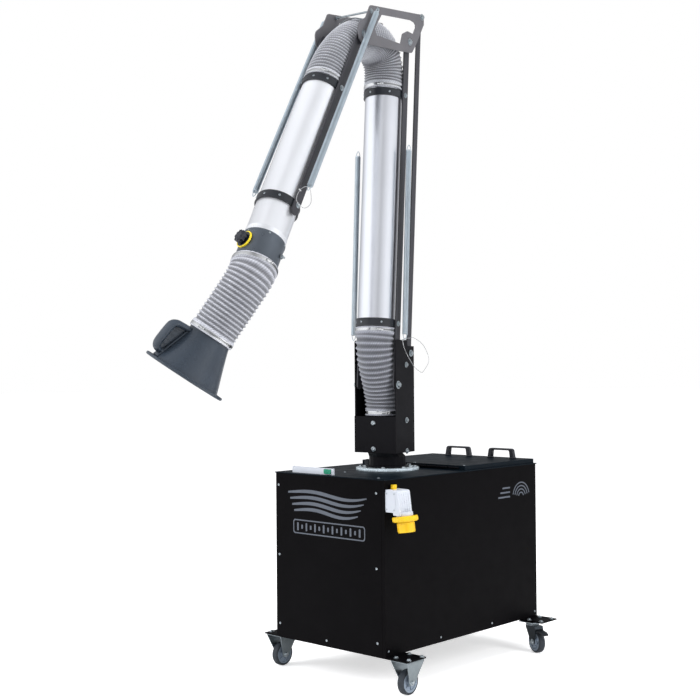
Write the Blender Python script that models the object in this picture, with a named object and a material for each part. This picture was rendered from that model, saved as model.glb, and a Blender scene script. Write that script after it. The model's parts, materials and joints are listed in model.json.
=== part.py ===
"""Mobile fume extractor: a filter cabinet on castors with a balanced, articulated extraction arm.

Metres, +Z up. The front of the cabinet faces -Y. Inside the turret's frame +X is the hinge direction and
-Y is forward, so the arm's plates are drawn as (y, z) outlines.
"""
import bmesh
import bpy
from math import atan2, cos, pi, radians, sin, tan
from mathutils import Matrix, Vector

# Cabinet
CABINET_WIDTH = 0.619
CABINET_LENGTH = 1.060
CABINET_BASE_Z = 0.144
CABINET_TOP_Z = 0.844
SHEET = 0.003
TOP_SHEET = 0.004
TOP_OVERHANG = 0.004
CORNER_LIP = 0.017
GAP = 0.0003

# Lid over the filter chamber
LID_LOW = (-0.2885, 0.002)
LID_HIGH = (0.3045, 0.522)
LID_HEIGHT = 0.020
LID_HANDLE_X = (-0.0805, 0.1695)
LID_HANDLE_Y = 0.460
LID_HANDLE_LENGTH = 0.150
LID_HANDLE_HEIGHT = 0.046

# Castors
CROSS_MEMBER_DEPTH = 0.120
CROSS_MEMBER_THICKNESS = 0.006
CROSS_MEMBER_LEFT = -0.3855
CROSS_MEMBER_RIGHT = 0.4165
WHEEL_RADIUS = 0.050
WHEEL_SIDES = 24
AXLE_RADIUS = 0.006
FORK_HALF_WIDTH = 0.022
FORK_SLOT_HALF = 0.0195
SWIVEL_TRAIL = 0.035
FRONT_WHEELS = {"left": (-0.3365, -0.473), "right": (0.3735, -0.473)}
REAR_SWIVELS = {"left": (-0.339, 0.450), "right": (0.339, 0.450)}
SWIVEL_TURN = -114.0
FIXED_PLATE = (0.0425, 0.052)
FORK_SPLAY = 0.24

# Pedestal and turret
TURRET_Y = -0.154
TURRET_TURN = 9.8
FLANGE_RADIUS = 0.137
FLANGE_THICKNESS = 0.012
NECK_RADIUS = 0.080
NECK_TOP_Z = 1.112
STUB_RADIUS = 0.075
STUB_OFFSET = -0.020
DUCT_WALL = 0.0025
CHEEK_INNER = 0.1000
CHEEK_OUTER = 0.1040
CHANNEL_INNER = 0.0955
CHANNEL_OUTER = 0.0995
TURRET_BASE_Z = 0.922
FRONT_PLATE_TOP_Z = 1.079
MAIN_PIVOT = (-0.078, 1.214)

# Arm linkage: one parallelogram of two equal cranks and two equal bars
ARM_PIVOT_SPAN = 1.501
ARM_LEAN = -4.5
CRANK = (0.110, 0.136)
BAR_INNER = 0.0885
BAR_OUTER = 0.0945
BAR_HALF_WIDTH = 0.020
LINK_HALF_WIDTH = 0.017
ELBOW_INNER = 0.1040
ELBOW_OUTER = 0.1080
UPPER_PIVOT = (-0.377, -0.052)
UPPER_LEAN = -31.2

# Ducts and hoses
TUBE_RADIUS = 0.080
LOWER_TUBE_OFFSET = -0.029
LOWER_TUBE_SPAN = (0.212, 1.315)
LOWER_COLLARS = (0.263, 1.264)
UPPER_TUBE_SPAN = (0.242, 1.042)
UPPER_COLLARS = (0.293, 0.884)
UPPER_BAR_END = 0.910
COLLAR_RADIUS = 0.0875
COLLAR_HEIGHT = 0.034
DUCT_SIDES = 20
HOSE_SIDES = 16
HOSE_WALL = 0.004
STUB = 0.030
SPRING_RADIUS = 0.0125
SPRING_H = 0.130

# Damper, hood joint and hood
DAMPER_SPAN = (1.0423, 1.178)
DAMPER_RADIUS = 0.0825
VALVE_T = 1.097
VALVE_TURN = -12.0
HOOD_JOINT_T = 1.205
HOOD_NOD = 8.3
HOOD_SWING = 25.5
HOOD_COLLAR = (0.245, 0.275)
HOOD_CONE_END = 0.4445
HOOD_MOUTH_RADIUS = 0.139
HOOD_FLANGE_RADIUS = 0.163
HOOD_HANDLE_TURN = -112.0
YOKE_HALF_SPAN = 0.050

COLOURS = {
    "black_powder_coat": ((0.012, 0.012, 0.014), 0.42, 0.0),
    "grey_powder_coat": ((0.12, 0.12, 0.13), 0.40, 0.2),
    "black_plastic": ((0.015, 0.016, 0.019), 0.38, 0.0),
    "green_plastic": ((0.02, 0.35, 0.12), 0.35, 0.0),
    "white_plastic": ((0.75, 0.75, 0.73), 0.40, 0.0),
    "yellow_plastic": ((0.85, 0.60, 0.02), 0.38, 0.0),
    "filter_paper": ((0.75, 0.74, 0.68), 0.90, 0.0),
    "galvanised": ((0.55, 0.56, 0.57), 0.45, 0.9),
    "zinc": ((0.62, 0.64, 0.66), 0.30, 0.9),
    "aluminium": ((0.80, 0.81, 0.83), 0.25, 0.9),
    "spring_steel": ((0.50, 0.52, 0.55), 0.30, 0.9),
    "hose_fabric": ((0.36, 0.36, 0.40), 0.85, 0.0),
    "grey_rubber": ((0.16, 0.17, 0.18), 0.60, 0.0),
    "damper_grey": ((0.07, 0.075, 0.085), 0.45, 0.0),
}


# ---------------------------------------------------------------- outlines and meshes

def circle(radius, sides, centre=(0.0, 0.0), turn=0.0):
    """Points of a regular polygon, counter-clockwise."""
    points = []
    for step in range(sides):
        angle = turn + 2 * pi * step / sides
        points.append((centre[0] + radius * cos(angle), centre[1] + radius * sin(angle)))
    return points


def rectangle(low, high):
    return [(low[0], low[1]), (high[0], low[1]), (high[0], high[1]), (low[0], high[1])]


def rounded(corners, steps=3):
    """Outline of (a, b, radius) corners; a corner with a radius becomes an arc."""
    points = []
    for index, (a, b, radius) in enumerate(corners):
        here = Vector((a, b))
        if radius == 0:
            points.append((a, b))
            continue
        before = (Vector(corners[index - 1][:2]) - here).normalized()
        after = (Vector(corners[(index + 1) % len(corners)][:2]) - here).normalized()
        half_angle = before.angle(after) / 2
        centre = here + (before + after).normalized() * radius / sin(half_angle)
        start = here + before * radius / tan(half_angle) - centre
        end = here + after * radius / tan(half_angle) - centre
        sweep_angle = atan2(start.cross(end), start.dot(end))
        for step in range(steps + 1):
            arm = Matrix.Rotation(sweep_angle * step / steps, 2) @ start
            points.append(tuple(centre + arm))
    return points


def bar_outline(half_width, low_z, high_z):
    """Flat bar with fully rounded ends about the two pivot heights."""
    points = []
    for step in range(7):
        angle = pi * step / 6
        points.append((half_width * cos(angle), high_z + half_width * sin(angle)))
    for step in range(7):
        angle = pi + pi * step / 6
        points.append((half_width * cos(angle), low_z + half_width * sin(angle)))
    return points


def place(axis, a, b, depth):
    """Point of an outline drawn across the named axis."""
    if axis == "X":
        return (depth, a, b)
    if axis == "Y":
        return (a, depth, b)
    return (a, b, depth)


def plate(axis, outline, depth_low, depth_high, holes=()):
    """Extruded outline, with through holes, as one closed mesh."""
    mesh = bmesh.new()
    edges = []
    for loop in (outline, *holes):
        verts = [mesh.verts.new(place(axis, a, b, depth_low)) for a, b in loop]
        for first, second in zip(verts, verts[1:] + verts[:1]):
            edges.append(mesh.edges.new((first, second)))
    if holes:
        bmesh.ops.triangle_fill(mesh, edges=edges, use_beauty=True)
    else:
        mesh.faces.new(verts)
    grown = bmesh.ops.extrude_face_region(mesh, geom=mesh.faces[:])
    moved = [item for item in grown["geom"] if isinstance(item, bmesh.types.BMVert)]
    step = Vector(place(axis, 0.0, 0.0, depth_high - depth_low))
    bmesh.ops.translate(mesh, verts=moved, vec=step)
    return mesh


def box(low, high):
    return plate("Z", rectangle(low, high), low[2], high[2])


def open_box(low, high, wall, open_top=True):
    """Five-sided sheet box, open at its top or at its bottom."""
    mesh = bmesh.new()
    floor = low[2] if open_top else high[2]
    rim = high[2] if open_top else low[2]
    inner_floor = floor + wall if open_top else floor - wall
    inner_low = (low[0] + wall, low[1] + wall)
    inner_high = (high[0] - wall, high[1] - wall)
    rings = []
    for corners, z in (
        (rectangle(low, high), floor),
        (rectangle(low, high), rim),
        (rectangle(inner_low, inner_high), rim),
        (rectangle(inner_low, inner_high), inner_floor),
    ):
        rings.append([mesh.verts.new((x, y, z)) for x, y in corners])
    for lower, upper in zip(rings, rings[1:]):
        join_rings(mesh, lower, upper)
    mesh.faces.new(rings[0])
    mesh.faces.new(rings[-1])
    return mesh


def join_rings(mesh, lower, upper):
    count = len(lower)
    for index in range(count):
        following = (index + 1) % count
        mesh.faces.new((lower[index], lower[following], upper[following], upper[index]))


def lathe(profile, sides, axis="Z", turn=0.0):
    """Closed (radius, height) profile turned about an axis through the origin."""
    mesh = bmesh.new()
    rings = []
    for radius, height in profile:
        ring = [mesh.verts.new(place(axis, a, b, height)) for a, b in circle(radius, sides, turn=turn)]
        rings.append(ring)
    for lower, upper in zip(rings, rings[1:] + rings[:1]):
        join_rings(mesh, lower, upper)
    return mesh


def duct(outer_radius, low_z, high_z, wall=DUCT_WALL):
    inner_radius = outer_radius - wall
    profile = [(outer_radius, low_z), (outer_radius, high_z), (inner_radius, high_z), (inner_radius, low_z)]
    return lathe(profile, DUCT_SIDES)


def stepped_duct(levels, wall=DUCT_WALL):
    """Upright duct through level rings of (height, y offset, radius)."""
    mesh = bmesh.new()
    rings = []
    for height, offset, radius in levels + [(h, y, r - wall) for h, y, r in reversed(levels)]:
        rings.append([mesh.verts.new((a, b, height)) for a, b in circle(radius, DUCT_SIDES, (0.0, offset))])
    for lower, upper in zip(rings, rings[1:] + rings[:1]):
        join_rings(mesh, lower, upper)
    return mesh


def sweep(path, radius, sides, wall=0.0, end_radius=None):
    """Round bar along a path, or a hollow hose where a wall is given; it may taper to another radius."""
    mesh = bmesh.new()
    points = [Vector(point) for point in path]
    side = None
    frames = []
    for index, point in enumerate(points):
        ahead = points[min(index + 1, len(points) - 1)]
        behind = points[max(index - 1, 0)]
        along = (ahead - behind).normalized()
        if side is None:
            side = along.orthogonal().normalized()
        side = (side - along * side.dot(along)).normalized()
        frames.append((point, side.copy(), along.cross(side)))
    growth = ((end_radius or radius) - radius) / (len(frames) - 1)
    layers = [(frame, radius + growth * index) for index, frame in enumerate(frames)]
    if wall:
        layers += [(frame, size - wall) for frame, size in reversed(layers)]
    rings = []
    for (centre, across, up), ring_radius in layers:
        ring = []
        for a, b in circle(ring_radius, sides):
            ring.append(mesh.verts.new(centre + across * a + up * b))
        rings.append(ring)
    for lower, upper in zip(rings, rings[1:]):
        join_rings(mesh, lower, upper)
    if wall:
        join_rings(mesh, rings[-1], rings[0])
    else:
        mesh.faces.new(rings[0])
        mesh.faces.new(rings[-1])
    return mesh


def hose_path(start, start_way, end, end_way, handles, straight=0.0, steps=9):
    """Smooth path that leaves and arrives along the given ways, with short straight ends."""
    first = Vector(start)
    last = Vector(end)
    leave = Vector(start_way).normalized()
    arrive = Vector(end_way).normalized()
    bend_start = first + leave * straight
    bend_end = last - arrive * straight
    control = (bend_start, bend_start + leave * handles[0], bend_end - arrive * handles[1], bend_end)
    path = [first] if straight else []
    for step in range(steps + 1):
        t = step / steps
        point = control[0] * (1 - t) ** 3
        point += control[1] * 3 * t * (1 - t) ** 2
        point += control[2] * 3 * t ** 2 * (1 - t)
        point += control[3] * t ** 3
        path.append(point)
    return path + [last] if straight else path


# ---------------------------------------------------------------- objects

MATERIALS = {}


def material(name):
    if name not in MATERIALS:
        colour, roughness, metallic = COLOURS[name]
        made = bpy.data.materials.new(name)
        made.use_nodes = True
        shader = made.node_tree.nodes["Principled BSDF"]
        shader.inputs["Base Color"].default_value = (*colour, 1.0)
        shader.inputs["Roughness"].default_value = roughness
        shader.inputs["Metallic"].default_value = metallic
        MATERIALS[name] = made
    return MATERIALS[name]


def add(name, mesh, finish, parent, location=(0, 0, 0), rotation=(0, 0, 0)):
    """Turn a bmesh into a named object under its parent; rotation in degrees."""
    bmesh.ops.recalc_face_normals(mesh, faces=mesh.faces[:])
    data = bpy.data.meshes.new(name)
    mesh.to_mesh(data)
    mesh.free()
    data.materials.append(material(finish))
    data.shade_smooth()
    data.set_sharp_from_angle(angle=radians(35))
    made = bpy.data.objects.new(name, data)
    bpy.context.scene.collection.objects.link(made)
    made.parent = parent
    made.location = location
    made.rotation_euler = [radians(angle) for angle in rotation]
    return made


def empty(name, parent, location=(0, 0, 0), rotation=(0, 0, 0)):
    made = bpy.data.objects.new(name, None)
    bpy.context.scene.collection.objects.link(made)
    made.parent = parent
    made.location = location
    made.rotation_euler = [radians(angle) for angle in rotation]
    return made


def combine(target, operation, tools):
    """Apply helper meshes, given in the target's own frame, as Boolean modifiers."""
    for number, mesh in enumerate(tools):
        finish = target.data.materials[0].name
        tool = add(f"{target.name}_tool_{operation.lower()}_{number}", mesh, finish, target)
        tool.hide_render = True
        tool.display_type = "WIRE"
        modifier = target.modifiers.new(tool.name, "BOOLEAN")
        modifier.operation = operation
        modifier.solver = "EXACT"
        modifier.object = tool
    return target


# ---------------------------------------------------------------- cabinet

def cabinet_shell(root):
    half_x = CABINET_WIDTH / 2
    half_y = CABINET_LENGTH / 2
    wall_top = CABINET_TOP_Z - TOP_SHEET - GAP
    inner_x = half_x - SHEET - GAP
    inner_y = half_y - SHEET - GAP
    pan_height = 0.030
    pan = open_box((-inner_x, -inner_y, CABINET_BASE_Z), (inner_x, inner_y, CABINET_BASE_Z + pan_height), 0.004)
    add("base_pan", pan, "galvanised", root)

    left = plate("X", rectangle((-inner_y, CABINET_BASE_Z), (half_y, wall_top)), -half_x, -half_x + SHEET)
    add("left_side_panel", left, "black_powder_coat", root)
    lip_x = half_x - CORNER_LIP
    right_outline = [
        (lip_x, -half_y), (half_x, -half_y), (half_x, half_y),
        (half_x - SHEET, half_y), (half_x - SHEET, -half_y + SHEET), (lip_x, -half_y + SHEET),
    ]
    right = plate("Z", right_outline, CABINET_BASE_Z, wall_top)
    add("right_side_panel", right, "black_powder_coat", root)

    front_outline = rectangle((-half_x, CABINET_BASE_Z), (lip_x - 0.001, wall_top))
    front = plate("Y", front_outline, -half_y, -half_y + SHEET)
    add("front_panel", front, "black_powder_coat", root)

    slots = []
    for column_x in (-0.100, 0.100):
        for row in range(6):
            slot_z = 0.300 + 0.030 * row
            slots.append(rectangle((column_x - 0.075, slot_z), (column_x + 0.075, slot_z + 0.010)))
    rear_outline = rectangle((-inner_x, CABINET_BASE_Z), (inner_x, wall_top))
    rear = plate("Y", rear_outline, half_y - SHEET, half_y, slots)
    add("rear_panel", rear, "black_powder_coat", root)

    edge_x = half_x + TOP_OVERHANG
    edge_y = half_y + TOP_OVERHANG
    duct_hole = circle(NECK_RADIUS, DUCT_SIDES, (0.0, TURRET_Y))
    filter_hole = rectangle((-0.260, 0.030), (0.275, 0.495))
    top_outline = rectangle((-edge_x, -edge_y), (edge_x, edge_y))
    top = plate("Z", top_outline, CABINET_TOP_Z - TOP_SHEET, CABINET_TOP_Z, (duct_hole, filter_hole))
    add("top_panel", top, "black_powder_coat", root)


def lid(root):
    hinge = (0.0, LID_LOW[1], CABINET_TOP_Z + LID_HEIGHT / 2)
    pivot = empty("lid_hinge_axis", root, hinge)
    low = (LID_LOW[0], 0.0, CABINET_TOP_Z + GAP - hinge[2])
    high = (LID_HIGH[0], LID_HIGH[1] - hinge[1], CABINET_TOP_Z + LID_HEIGHT - hinge[2])
    add("lid_panel", open_box(low, high, SHEET, open_top=False), "black_powder_coat", pivot)
    grip = 0.013
    corner = 0.014
    half = LID_HANDLE_LENGTH / 2
    top = LID_HANDLE_HEIGHT
    outline = rounded([
        (-half, 0, 0), (-half, top, corner), (half, top, corner), (half, 0, 0),
        (half - grip, 0, 0), (half - grip, top - grip, corner / 2),
        (-half + grip, top - grip, corner / 2), (-half + grip, 0, 0),
    ])
    for side, x in zip(("left", "right"), LID_HANDLE_X):
        bow = plate("Y", outline, -grip / 2, grip / 2)
        spot = (x, LID_HANDLE_Y - hinge[1], LID_HEIGHT / 2 + GAP)
        add(f"lid_handle_{side}", bow, "black_plastic", pivot, spot)


def controls(root):
    low = (-0.2305, -0.510)
    high = (0.0095, -0.498)
    button_x = -0.020
    button_half = (0.019, 0.0095)
    button_z = 0.0135
    housing_top = 0.026
    pocket_depth = 0.009
    play = 0.001
    outline = rounded([(*corner, 0.003) for corner in rectangle(low, high)], 2)
    housing = plate("Z", outline, GAP, housing_top)
    pocket_low = (button_x - button_half[0] - play, low[1] - 0.010, button_z - button_half[1] - play)
    pocket_high = (button_x + button_half[0] + play, low[1] + pocket_depth, button_z + button_half[1] + play)
    made = add("control_housing", housing, "white_plastic", root, (0, 0, CABINET_TOP_Z))
    combine(made, "DIFFERENCE", [box(pocket_low, pocket_high)])
    cap = box((-button_half[0], -0.005, -button_half[1]), (button_half[0], 0.005, button_half[1]))
    spot = (button_x, low[1], CABINET_TOP_Z + button_z)
    add("start_button", cap, "green_plastic", root, spot)


def power_inlet(root):
    """Wall-box inlet: a housing whose underside slopes, with a locking ring and a shroud round the pins."""
    side_x = CABINET_WIDTH / 2 + GAP
    low = (side_x, -0.525, 0.716)
    high = (side_x + 0.061, -0.449, 0.807)
    centre = (side_x + 0.066, -0.485)
    tilt = -8.0
    housing = add("inlet_housing", box(low, high), "white_plastic", root)
    mouth = empty("inlet_axis", root, (centre[0], centre[1], 0.706), (0, tilt, 0))
    neck = bmesh.new()
    top_x = side_x + 0.040
    upper = [neck.verts.new((top_x + a * 0.5, centre[1] + b, low[2] + 0.010)) for a, b in circle(0.038, 16)]
    slope = Matrix.Translation(mouth.location) @ Matrix.Rotation(radians(tilt), 4, "Y")
    lower = [neck.verts.new(slope @ Vector((a, b, -0.002))) for a, b in circle(0.038, 16)]
    join_rings(neck, upper, lower)
    neck.faces.new(upper)
    neck.faces.new(lower)
    combine(housing, "UNION", [neck])
    ring = lathe([(0.052, -0.0045), (0.052, -0.026), (0.034, -0.026), (0.034, -0.0045)], DUCT_SIDES)
    add("inlet_ring", ring, "yellow_plastic", mouth)
    cup = [
        (0.0335, -0.0025), (0.0335, -0.0680), (0.0300, -0.0680), (0.0300, -0.0100),
        (0.0020, -0.0100), (0.0020, -0.0025),
    ]
    shroud = add("inlet_shroud", lathe(cup, DUCT_SIDES), "yellow_plastic", mouth)
    pins = []
    for x, y in circle(0.014, 3, turn=pi / 2):
        pins.append(sweep([(x, y, -0.006), (x, y, -0.050)], 0.0035, 8))
    combine(shroud, "UNION", pins)


def air_works(root):
    """Filter cartridge under the lid; fan housing, impeller and motor under the pedestal."""
    add("filter_cartridge", box((-0.240, 0.045, 0.350), (0.250, 0.480, 0.800)), "filter_paper", root)
    fan_y = -0.240
    hub = empty("fan_axis", root, (0.0, fan_y, 0.330))
    wall = 0.003
    outer = 0.200
    bore = 0.100
    shell = [
        (outer, 0.090), (outer, -0.060), (0.020, -0.060), (0.020, -0.060 + wall),
        (outer - wall, -0.060 + wall), (outer - wall, 0.090 - wall), (bore, 0.090 - wall), (bore, 0.090),
    ]
    scroll = add("fan_scroll", lathe(shell, DUCT_SIDES), "galvanised", hub)
    combine(scroll, "DIFFERENCE", [box((-0.080, outer * 0.8, -0.030), (0.080, outer * 1.1, 0.060))])
    blades = 9
    star = []
    for blade in range(blades):
        start = 2 * pi * blade / blades
        star += [(0.045 * cos(start), 0.045 * sin(start))]
        for radius, turn in ((0.165, 0.10), (0.165, 0.13), (0.045, 0.10)):
            star.append((radius * cos(start + turn), radius * sin(start + turn)))
    add("fan_impeller", plate("Z", star, -0.040, 0.060), "galvanised", hub)
    motor = lathe([(0.075, -0.062), (0.075, -0.150), (0.004, -0.150), (0.004, -0.062)], DUCT_SIDES)
    add("fan_motor", motor, "damper_grey", hub)


# ---------------------------------------------------------------- castors

def wheel(name, parent, location):
    """Wheel on an X axle, with one tread facet level with the floor."""
    outer = WHEEL_RADIUS / cos(pi / WHEEL_SIDES)
    bore = AXLE_RADIUS + 0.0006
    profile = [
        (bore, -0.017), (outer - 0.006, -0.017), (outer, -0.010),
        (outer, 0.010), (outer - 0.006, 0.017), (bore, 0.017),
    ]
    turned = lathe(profile, WHEEL_SIDES, "X", pi / WHEEL_SIDES)
    return add(name, turned, "grey_rubber", parent, location)


def axle(wheel_y, reach):
    return sweep([(-reach, wheel_y, WHEEL_RADIUS), (reach, wheel_y, WHEEL_RADIUS)], AXLE_RADIUS, 12)


def swivel_fork(name, outline, head, parent):
    """Pressed fork under a swivel head, slotted for its trailing wheel."""
    made = add(name, plate("X", outline, -FORK_HALF_WIDTH, FORK_HALF_WIDTH), "zinc", parent)
    slot = box((-FORK_SLOT_HALF, -0.200, 0.0), (FORK_SLOT_HALF, 0.200, 0.1080))
    combine(made, "DIFFERENCE", [slot])
    combine(made, "UNION", [axle(SWIVEL_TRAIL, FORK_HALF_WIDTH + 0.004), head])


def fixed_fork(name, plate_top, parent):
    """Pressed fork whose legs splay out to a wide bolting plate."""
    half_x, half_y = FIXED_PLATE
    plate_low = plate_top - 0.003
    made = add(name, box((-half_x, -half_y, plate_low), (half_x, half_y, plate_top)), "zinc", parent)
    shoulder = half_y - 0.002
    outline = [
        (-shoulder, plate_low + 0.001), (-shoulder, plate_low - 0.004), (-0.014, 0.038),
        (0.014, 0.038), (shoulder, plate_low - 0.004), (shoulder, plate_low + 0.001),
    ]
    for side in (-1, 1):
        faces = sorted((side * (FORK_HALF_WIDTH - 0.0015), side * (FORK_HALF_WIDTH + 0.0015)))
        leg = plate("X", outline, *faces)
        for vert in leg.verts:
            vert.co.x += side * FORK_SPLAY * (vert.co.z - WHEEL_RADIUS)
        combine(made, "UNION", [leg])
    combine(made, "UNION", [axle(0.0, FORK_HALF_WIDTH + 0.005)])


def castors(root):
    plate_top = CABINET_BASE_Z - CROSS_MEMBER_THICKNESS - GAP
    half_y = CABINET_LENGTH / 2
    for end, y in (("front", -half_y), ("rear", half_y - CROSS_MEMBER_DEPTH)):
        low = (CROSS_MEMBER_LEFT, y, plate_top + GAP)
        high = (CROSS_MEMBER_RIGHT, y + CROSS_MEMBER_DEPTH, CABINET_BASE_Z - GAP)
        add(f"{end}_cross_member", box(low, high), "black_powder_coat", root)

    for side, (x, y) in FRONT_WHEELS.items():
        base = empty(f"front_{side}_castor", root, (x, y, 0.0))
        fixed_fork(f"front_{side}_fork", plate_top, base)
        wheel(f"front_{side}_wheel", base, (0, 0, WHEEL_RADIUS))

    swivel_outline = [
        (-0.024, 0.120), (-0.022, 0.106), (0.020, 0.042), (0.030, 0.036),
        (0.046, 0.040), (0.056, 0.090), (0.052, 0.120),
    ]
    pedal_outline = [(0.058, 0.104), (0.057, 0.099), (0.088, 0.094), (0.103, 0.086), (0.106, 0.090), (0.090, 0.100)]
    for side, (x, y) in REAR_SWIVELS.items():
        base = empty(f"rear_{side}_swivel_axis", root, (x, y, 0.0), (0, 0, SWIVEL_TURN))
        head = sweep([(0, 0, 0.112), (0, 0, plate_top)], 0.026, 16)
        swivel_fork(f"rear_{side}_fork", swivel_outline, head, base)
        wheel(f"rear_{side}_wheel", base, (0, SWIVEL_TRAIL, WHEEL_RADIUS))
        hinge = (0.0, 0.058, 0.1015)
        outline = [(a - hinge[1], b - hinge[2]) for a, b in pedal_outline]
        pedal = plate("X", outline, -0.017, 0.017)
        add(f"rear_{side}_brake_pedal", pedal, "zinc", base, hinge)


# ---------------------------------------------------------------- pedestal and turret

def pedestal(root):
    base = empty("turret_axis", root, (0.0, TURRET_Y, 0.0), (0, 0, TURRET_TURN))
    low = CABINET_TOP_Z + GAP
    high = CABINET_TOP_Z + FLANGE_THICKNESS
    inner = NECK_RADIUS + 0.001
    ring = lathe([(FLANGE_RADIUS, low), (FLANGE_RADIUS, high), (inner, high), (inner, low)], 24)
    add("base_flange", ring, "zinc", base)
    foot = high + GAP
    levels = [
        (foot, 0.0, NECK_RADIUS), (TURRET_BASE_Z - 0.020, 0.0, NECK_RADIUS),
        (TURRET_BASE_Z - 0.002, STUB_OFFSET, STUB_RADIUS), (NECK_TOP_Z, STUB_OFFSET, STUB_RADIUS),
    ]
    neck = add("turret_neck", stepped_duct(levels), "black_powder_coat", base)
    foot_inner = NECK_RADIUS - DUCT_WALL / 2
    foot_ring = [(0.094, foot), (0.094, foot + 0.006), (foot_inner, foot + 0.006), (foot_inner, foot)]
    combine(neck, "UNION", [lathe(foot_ring, DUCT_SIDES)])
    return base


def turret(base):
    back_y = 0.066
    channel = [
        (-CHANNEL_OUTER, back_y), (-CHANNEL_OUTER, -0.020), (-CHANNEL_INNER, -0.020),
        (-CHANNEL_INNER, back_y - 0.004), (CHANNEL_INNER, back_y - 0.004), (CHANNEL_INNER, -0.020),
        (CHANNEL_OUTER, -0.020), (CHANNEL_OUTER, back_y),
    ]
    add("turret_channel", plate("Z", channel, TURRET_BASE_Z, 1.381), "black_powder_coat", base)
    front_y = -0.0977
    cheek = rounded([
        (front_y, TURRET_BASE_Z, 0), (0.017, TURRET_BASE_Z, 0), (0.017, 1.352, 0.006),
        (-0.005, 1.407, 0.006), (front_y, 1.407, 0.010),
    ], 2)
    add("left_cheek", plate("X", cheek, -CHEEK_OUTER, -CHEEK_INNER), "black_powder_coat", base)
    add("right_cheek", plate("X", cheek, CHEEK_INNER, CHEEK_OUTER), "black_powder_coat", base)
    cover = rectangle((-CHEEK_OUTER, TURRET_BASE_Z), (CHEEK_OUTER, FRONT_PLATE_TOP_Z))
    add("turret_front_plate", plate("Y", cover, front_y - 0.004, front_y - GAP), "black_powder_coat", base)


# ---------------------------------------------------------------- arm

def collar(name, parent, axis_y, z, bar_y):
    """Split band on a duct, with an ear to each side bar."""
    low = -COLLAR_HEIGHT / 2
    high = COLLAR_HEIGHT / 2
    inner = TUBE_RADIUS + GAP
    ring = lathe([(COLLAR_RADIUS, low), (COLLAR_RADIUS, high), (inner, high), (inner, low)], DUCT_SIDES)
    made = add(name, ring, "black_powder_coat", parent, (0, axis_y, z))
    centre = bar_y - axis_y
    near = max(centre - 0.012, -0.010)
    far = near + 0.024
    ears = []
    for side in (-1, 1):
        x_pair = sorted((side * (TUBE_RADIUS + 0.0015), side * (BAR_INNER - GAP)))
        ears.append(box((x_pair[0], near, low + 0.002), (x_pair[1], far, high - 0.002)))
    return combine(made, "UNION", ears)


def side_bars(prefix, parent, outline):
    for side, sign in (("left", -1), ("right", 1)):
        depths = sorted((sign * BAR_INNER, sign * BAR_OUTER))
        add(f"{prefix}_{side}_bar", plate("X", outline, *depths), "black_powder_coat", parent)


def lower_arm(base):
    pivot = empty("lower_arm_axis", base, (0, *MAIN_PIVOT), (ARM_LEAN, 0, 0))
    side_bars("lower_arm", pivot, bar_outline(BAR_HALF_WIDTH, 0.0, ARM_PIVOT_SPAN))
    tube = duct(TUBE_RADIUS, *LOWER_TUBE_SPAN)
    add("lower_arm_tube", tube, "aluminium", pivot, (0, LOWER_TUBE_OFFSET, 0))
    for end, z in zip(("bottom", "top"), LOWER_COLLARS):
        collar(f"lower_arm_{end}_collar", pivot, LOWER_TUBE_OFFSET, z, 0.0)
    for side, sign in (("left", -1), ("right", 1)):
        path = [(sign * SPRING_H, 0.0, 0.205), (sign * SPRING_H, -0.017, 1.025)]
        add(f"lower_arm_{side}_spring", sweep(path, SPRING_RADIUS, 10), "spring_steel", pivot)
    return pivot


def link(base):
    foot = (0, MAIN_PIVOT[0] + CRANK[0], MAIN_PIVOT[1] + CRANK[1])
    pivot = empty("link_axis", base, foot, (ARM_LEAN, 0, 0))
    outline = bar_outline(LINK_HALF_WIDTH, 0.0, ARM_PIVOT_SPAN)
    add("link_bar", plate("X", outline, BAR_INNER, BAR_OUTER), "grey_powder_coat", pivot)


def elbow(arm):
    """Two window plates; their frame stays level because the link matches the lower arm."""
    pivot = empty("elbow_axis", arm, (0, 0, ARM_PIVOT_SPAN), (-ARM_LEAN, 0, 0))
    upper_y, upper_z = UPPER_PIVOT
    outline = rounded([
        (CRANK[0] + 0.016, CRANK[1] + 0.014, 0.010),
        (-0.3255, 0.079, 0.020),
        (-0.3480, 0.040, 0.012),
        (-0.3600, 0.020, 0.020),
        (upper_y - 0.044, upper_z + 0.030, 0.030),
        (upper_y - 0.036, upper_z - 0.046, 0.034),
        (-0.0655, -0.056, 0.040),
        (0.0180, -0.044, 0.022),
        (0.0520, -0.004, 0.010),
        (0.1280, 0.108, 0.012),
    ], 3)
    window = rounded([
        (-0.2335, 0.062, 0.012), (-0.2900, -0.010, 0.010), (-0.2800, -0.036, 0.012), (-0.0800, -0.026, 0.008),
        (-0.0620, 0.022, 0.012), (-0.0180, 0.044, 0.014), (0.0300, 0.042, 0.010), (0.0640, 0.094, 0.014),
        (0.0100, 0.099, 0.010),
    ], 2)
    for side, sign in (("left", -1), ("right", 1)):
        depths = sorted((sign * ELBOW_INNER, sign * ELBOW_OUTER))
        add(f"elbow_{side}_plate", plate("X", outline, *depths, (window,)), "grey_powder_coat", pivot)
    return pivot


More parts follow.
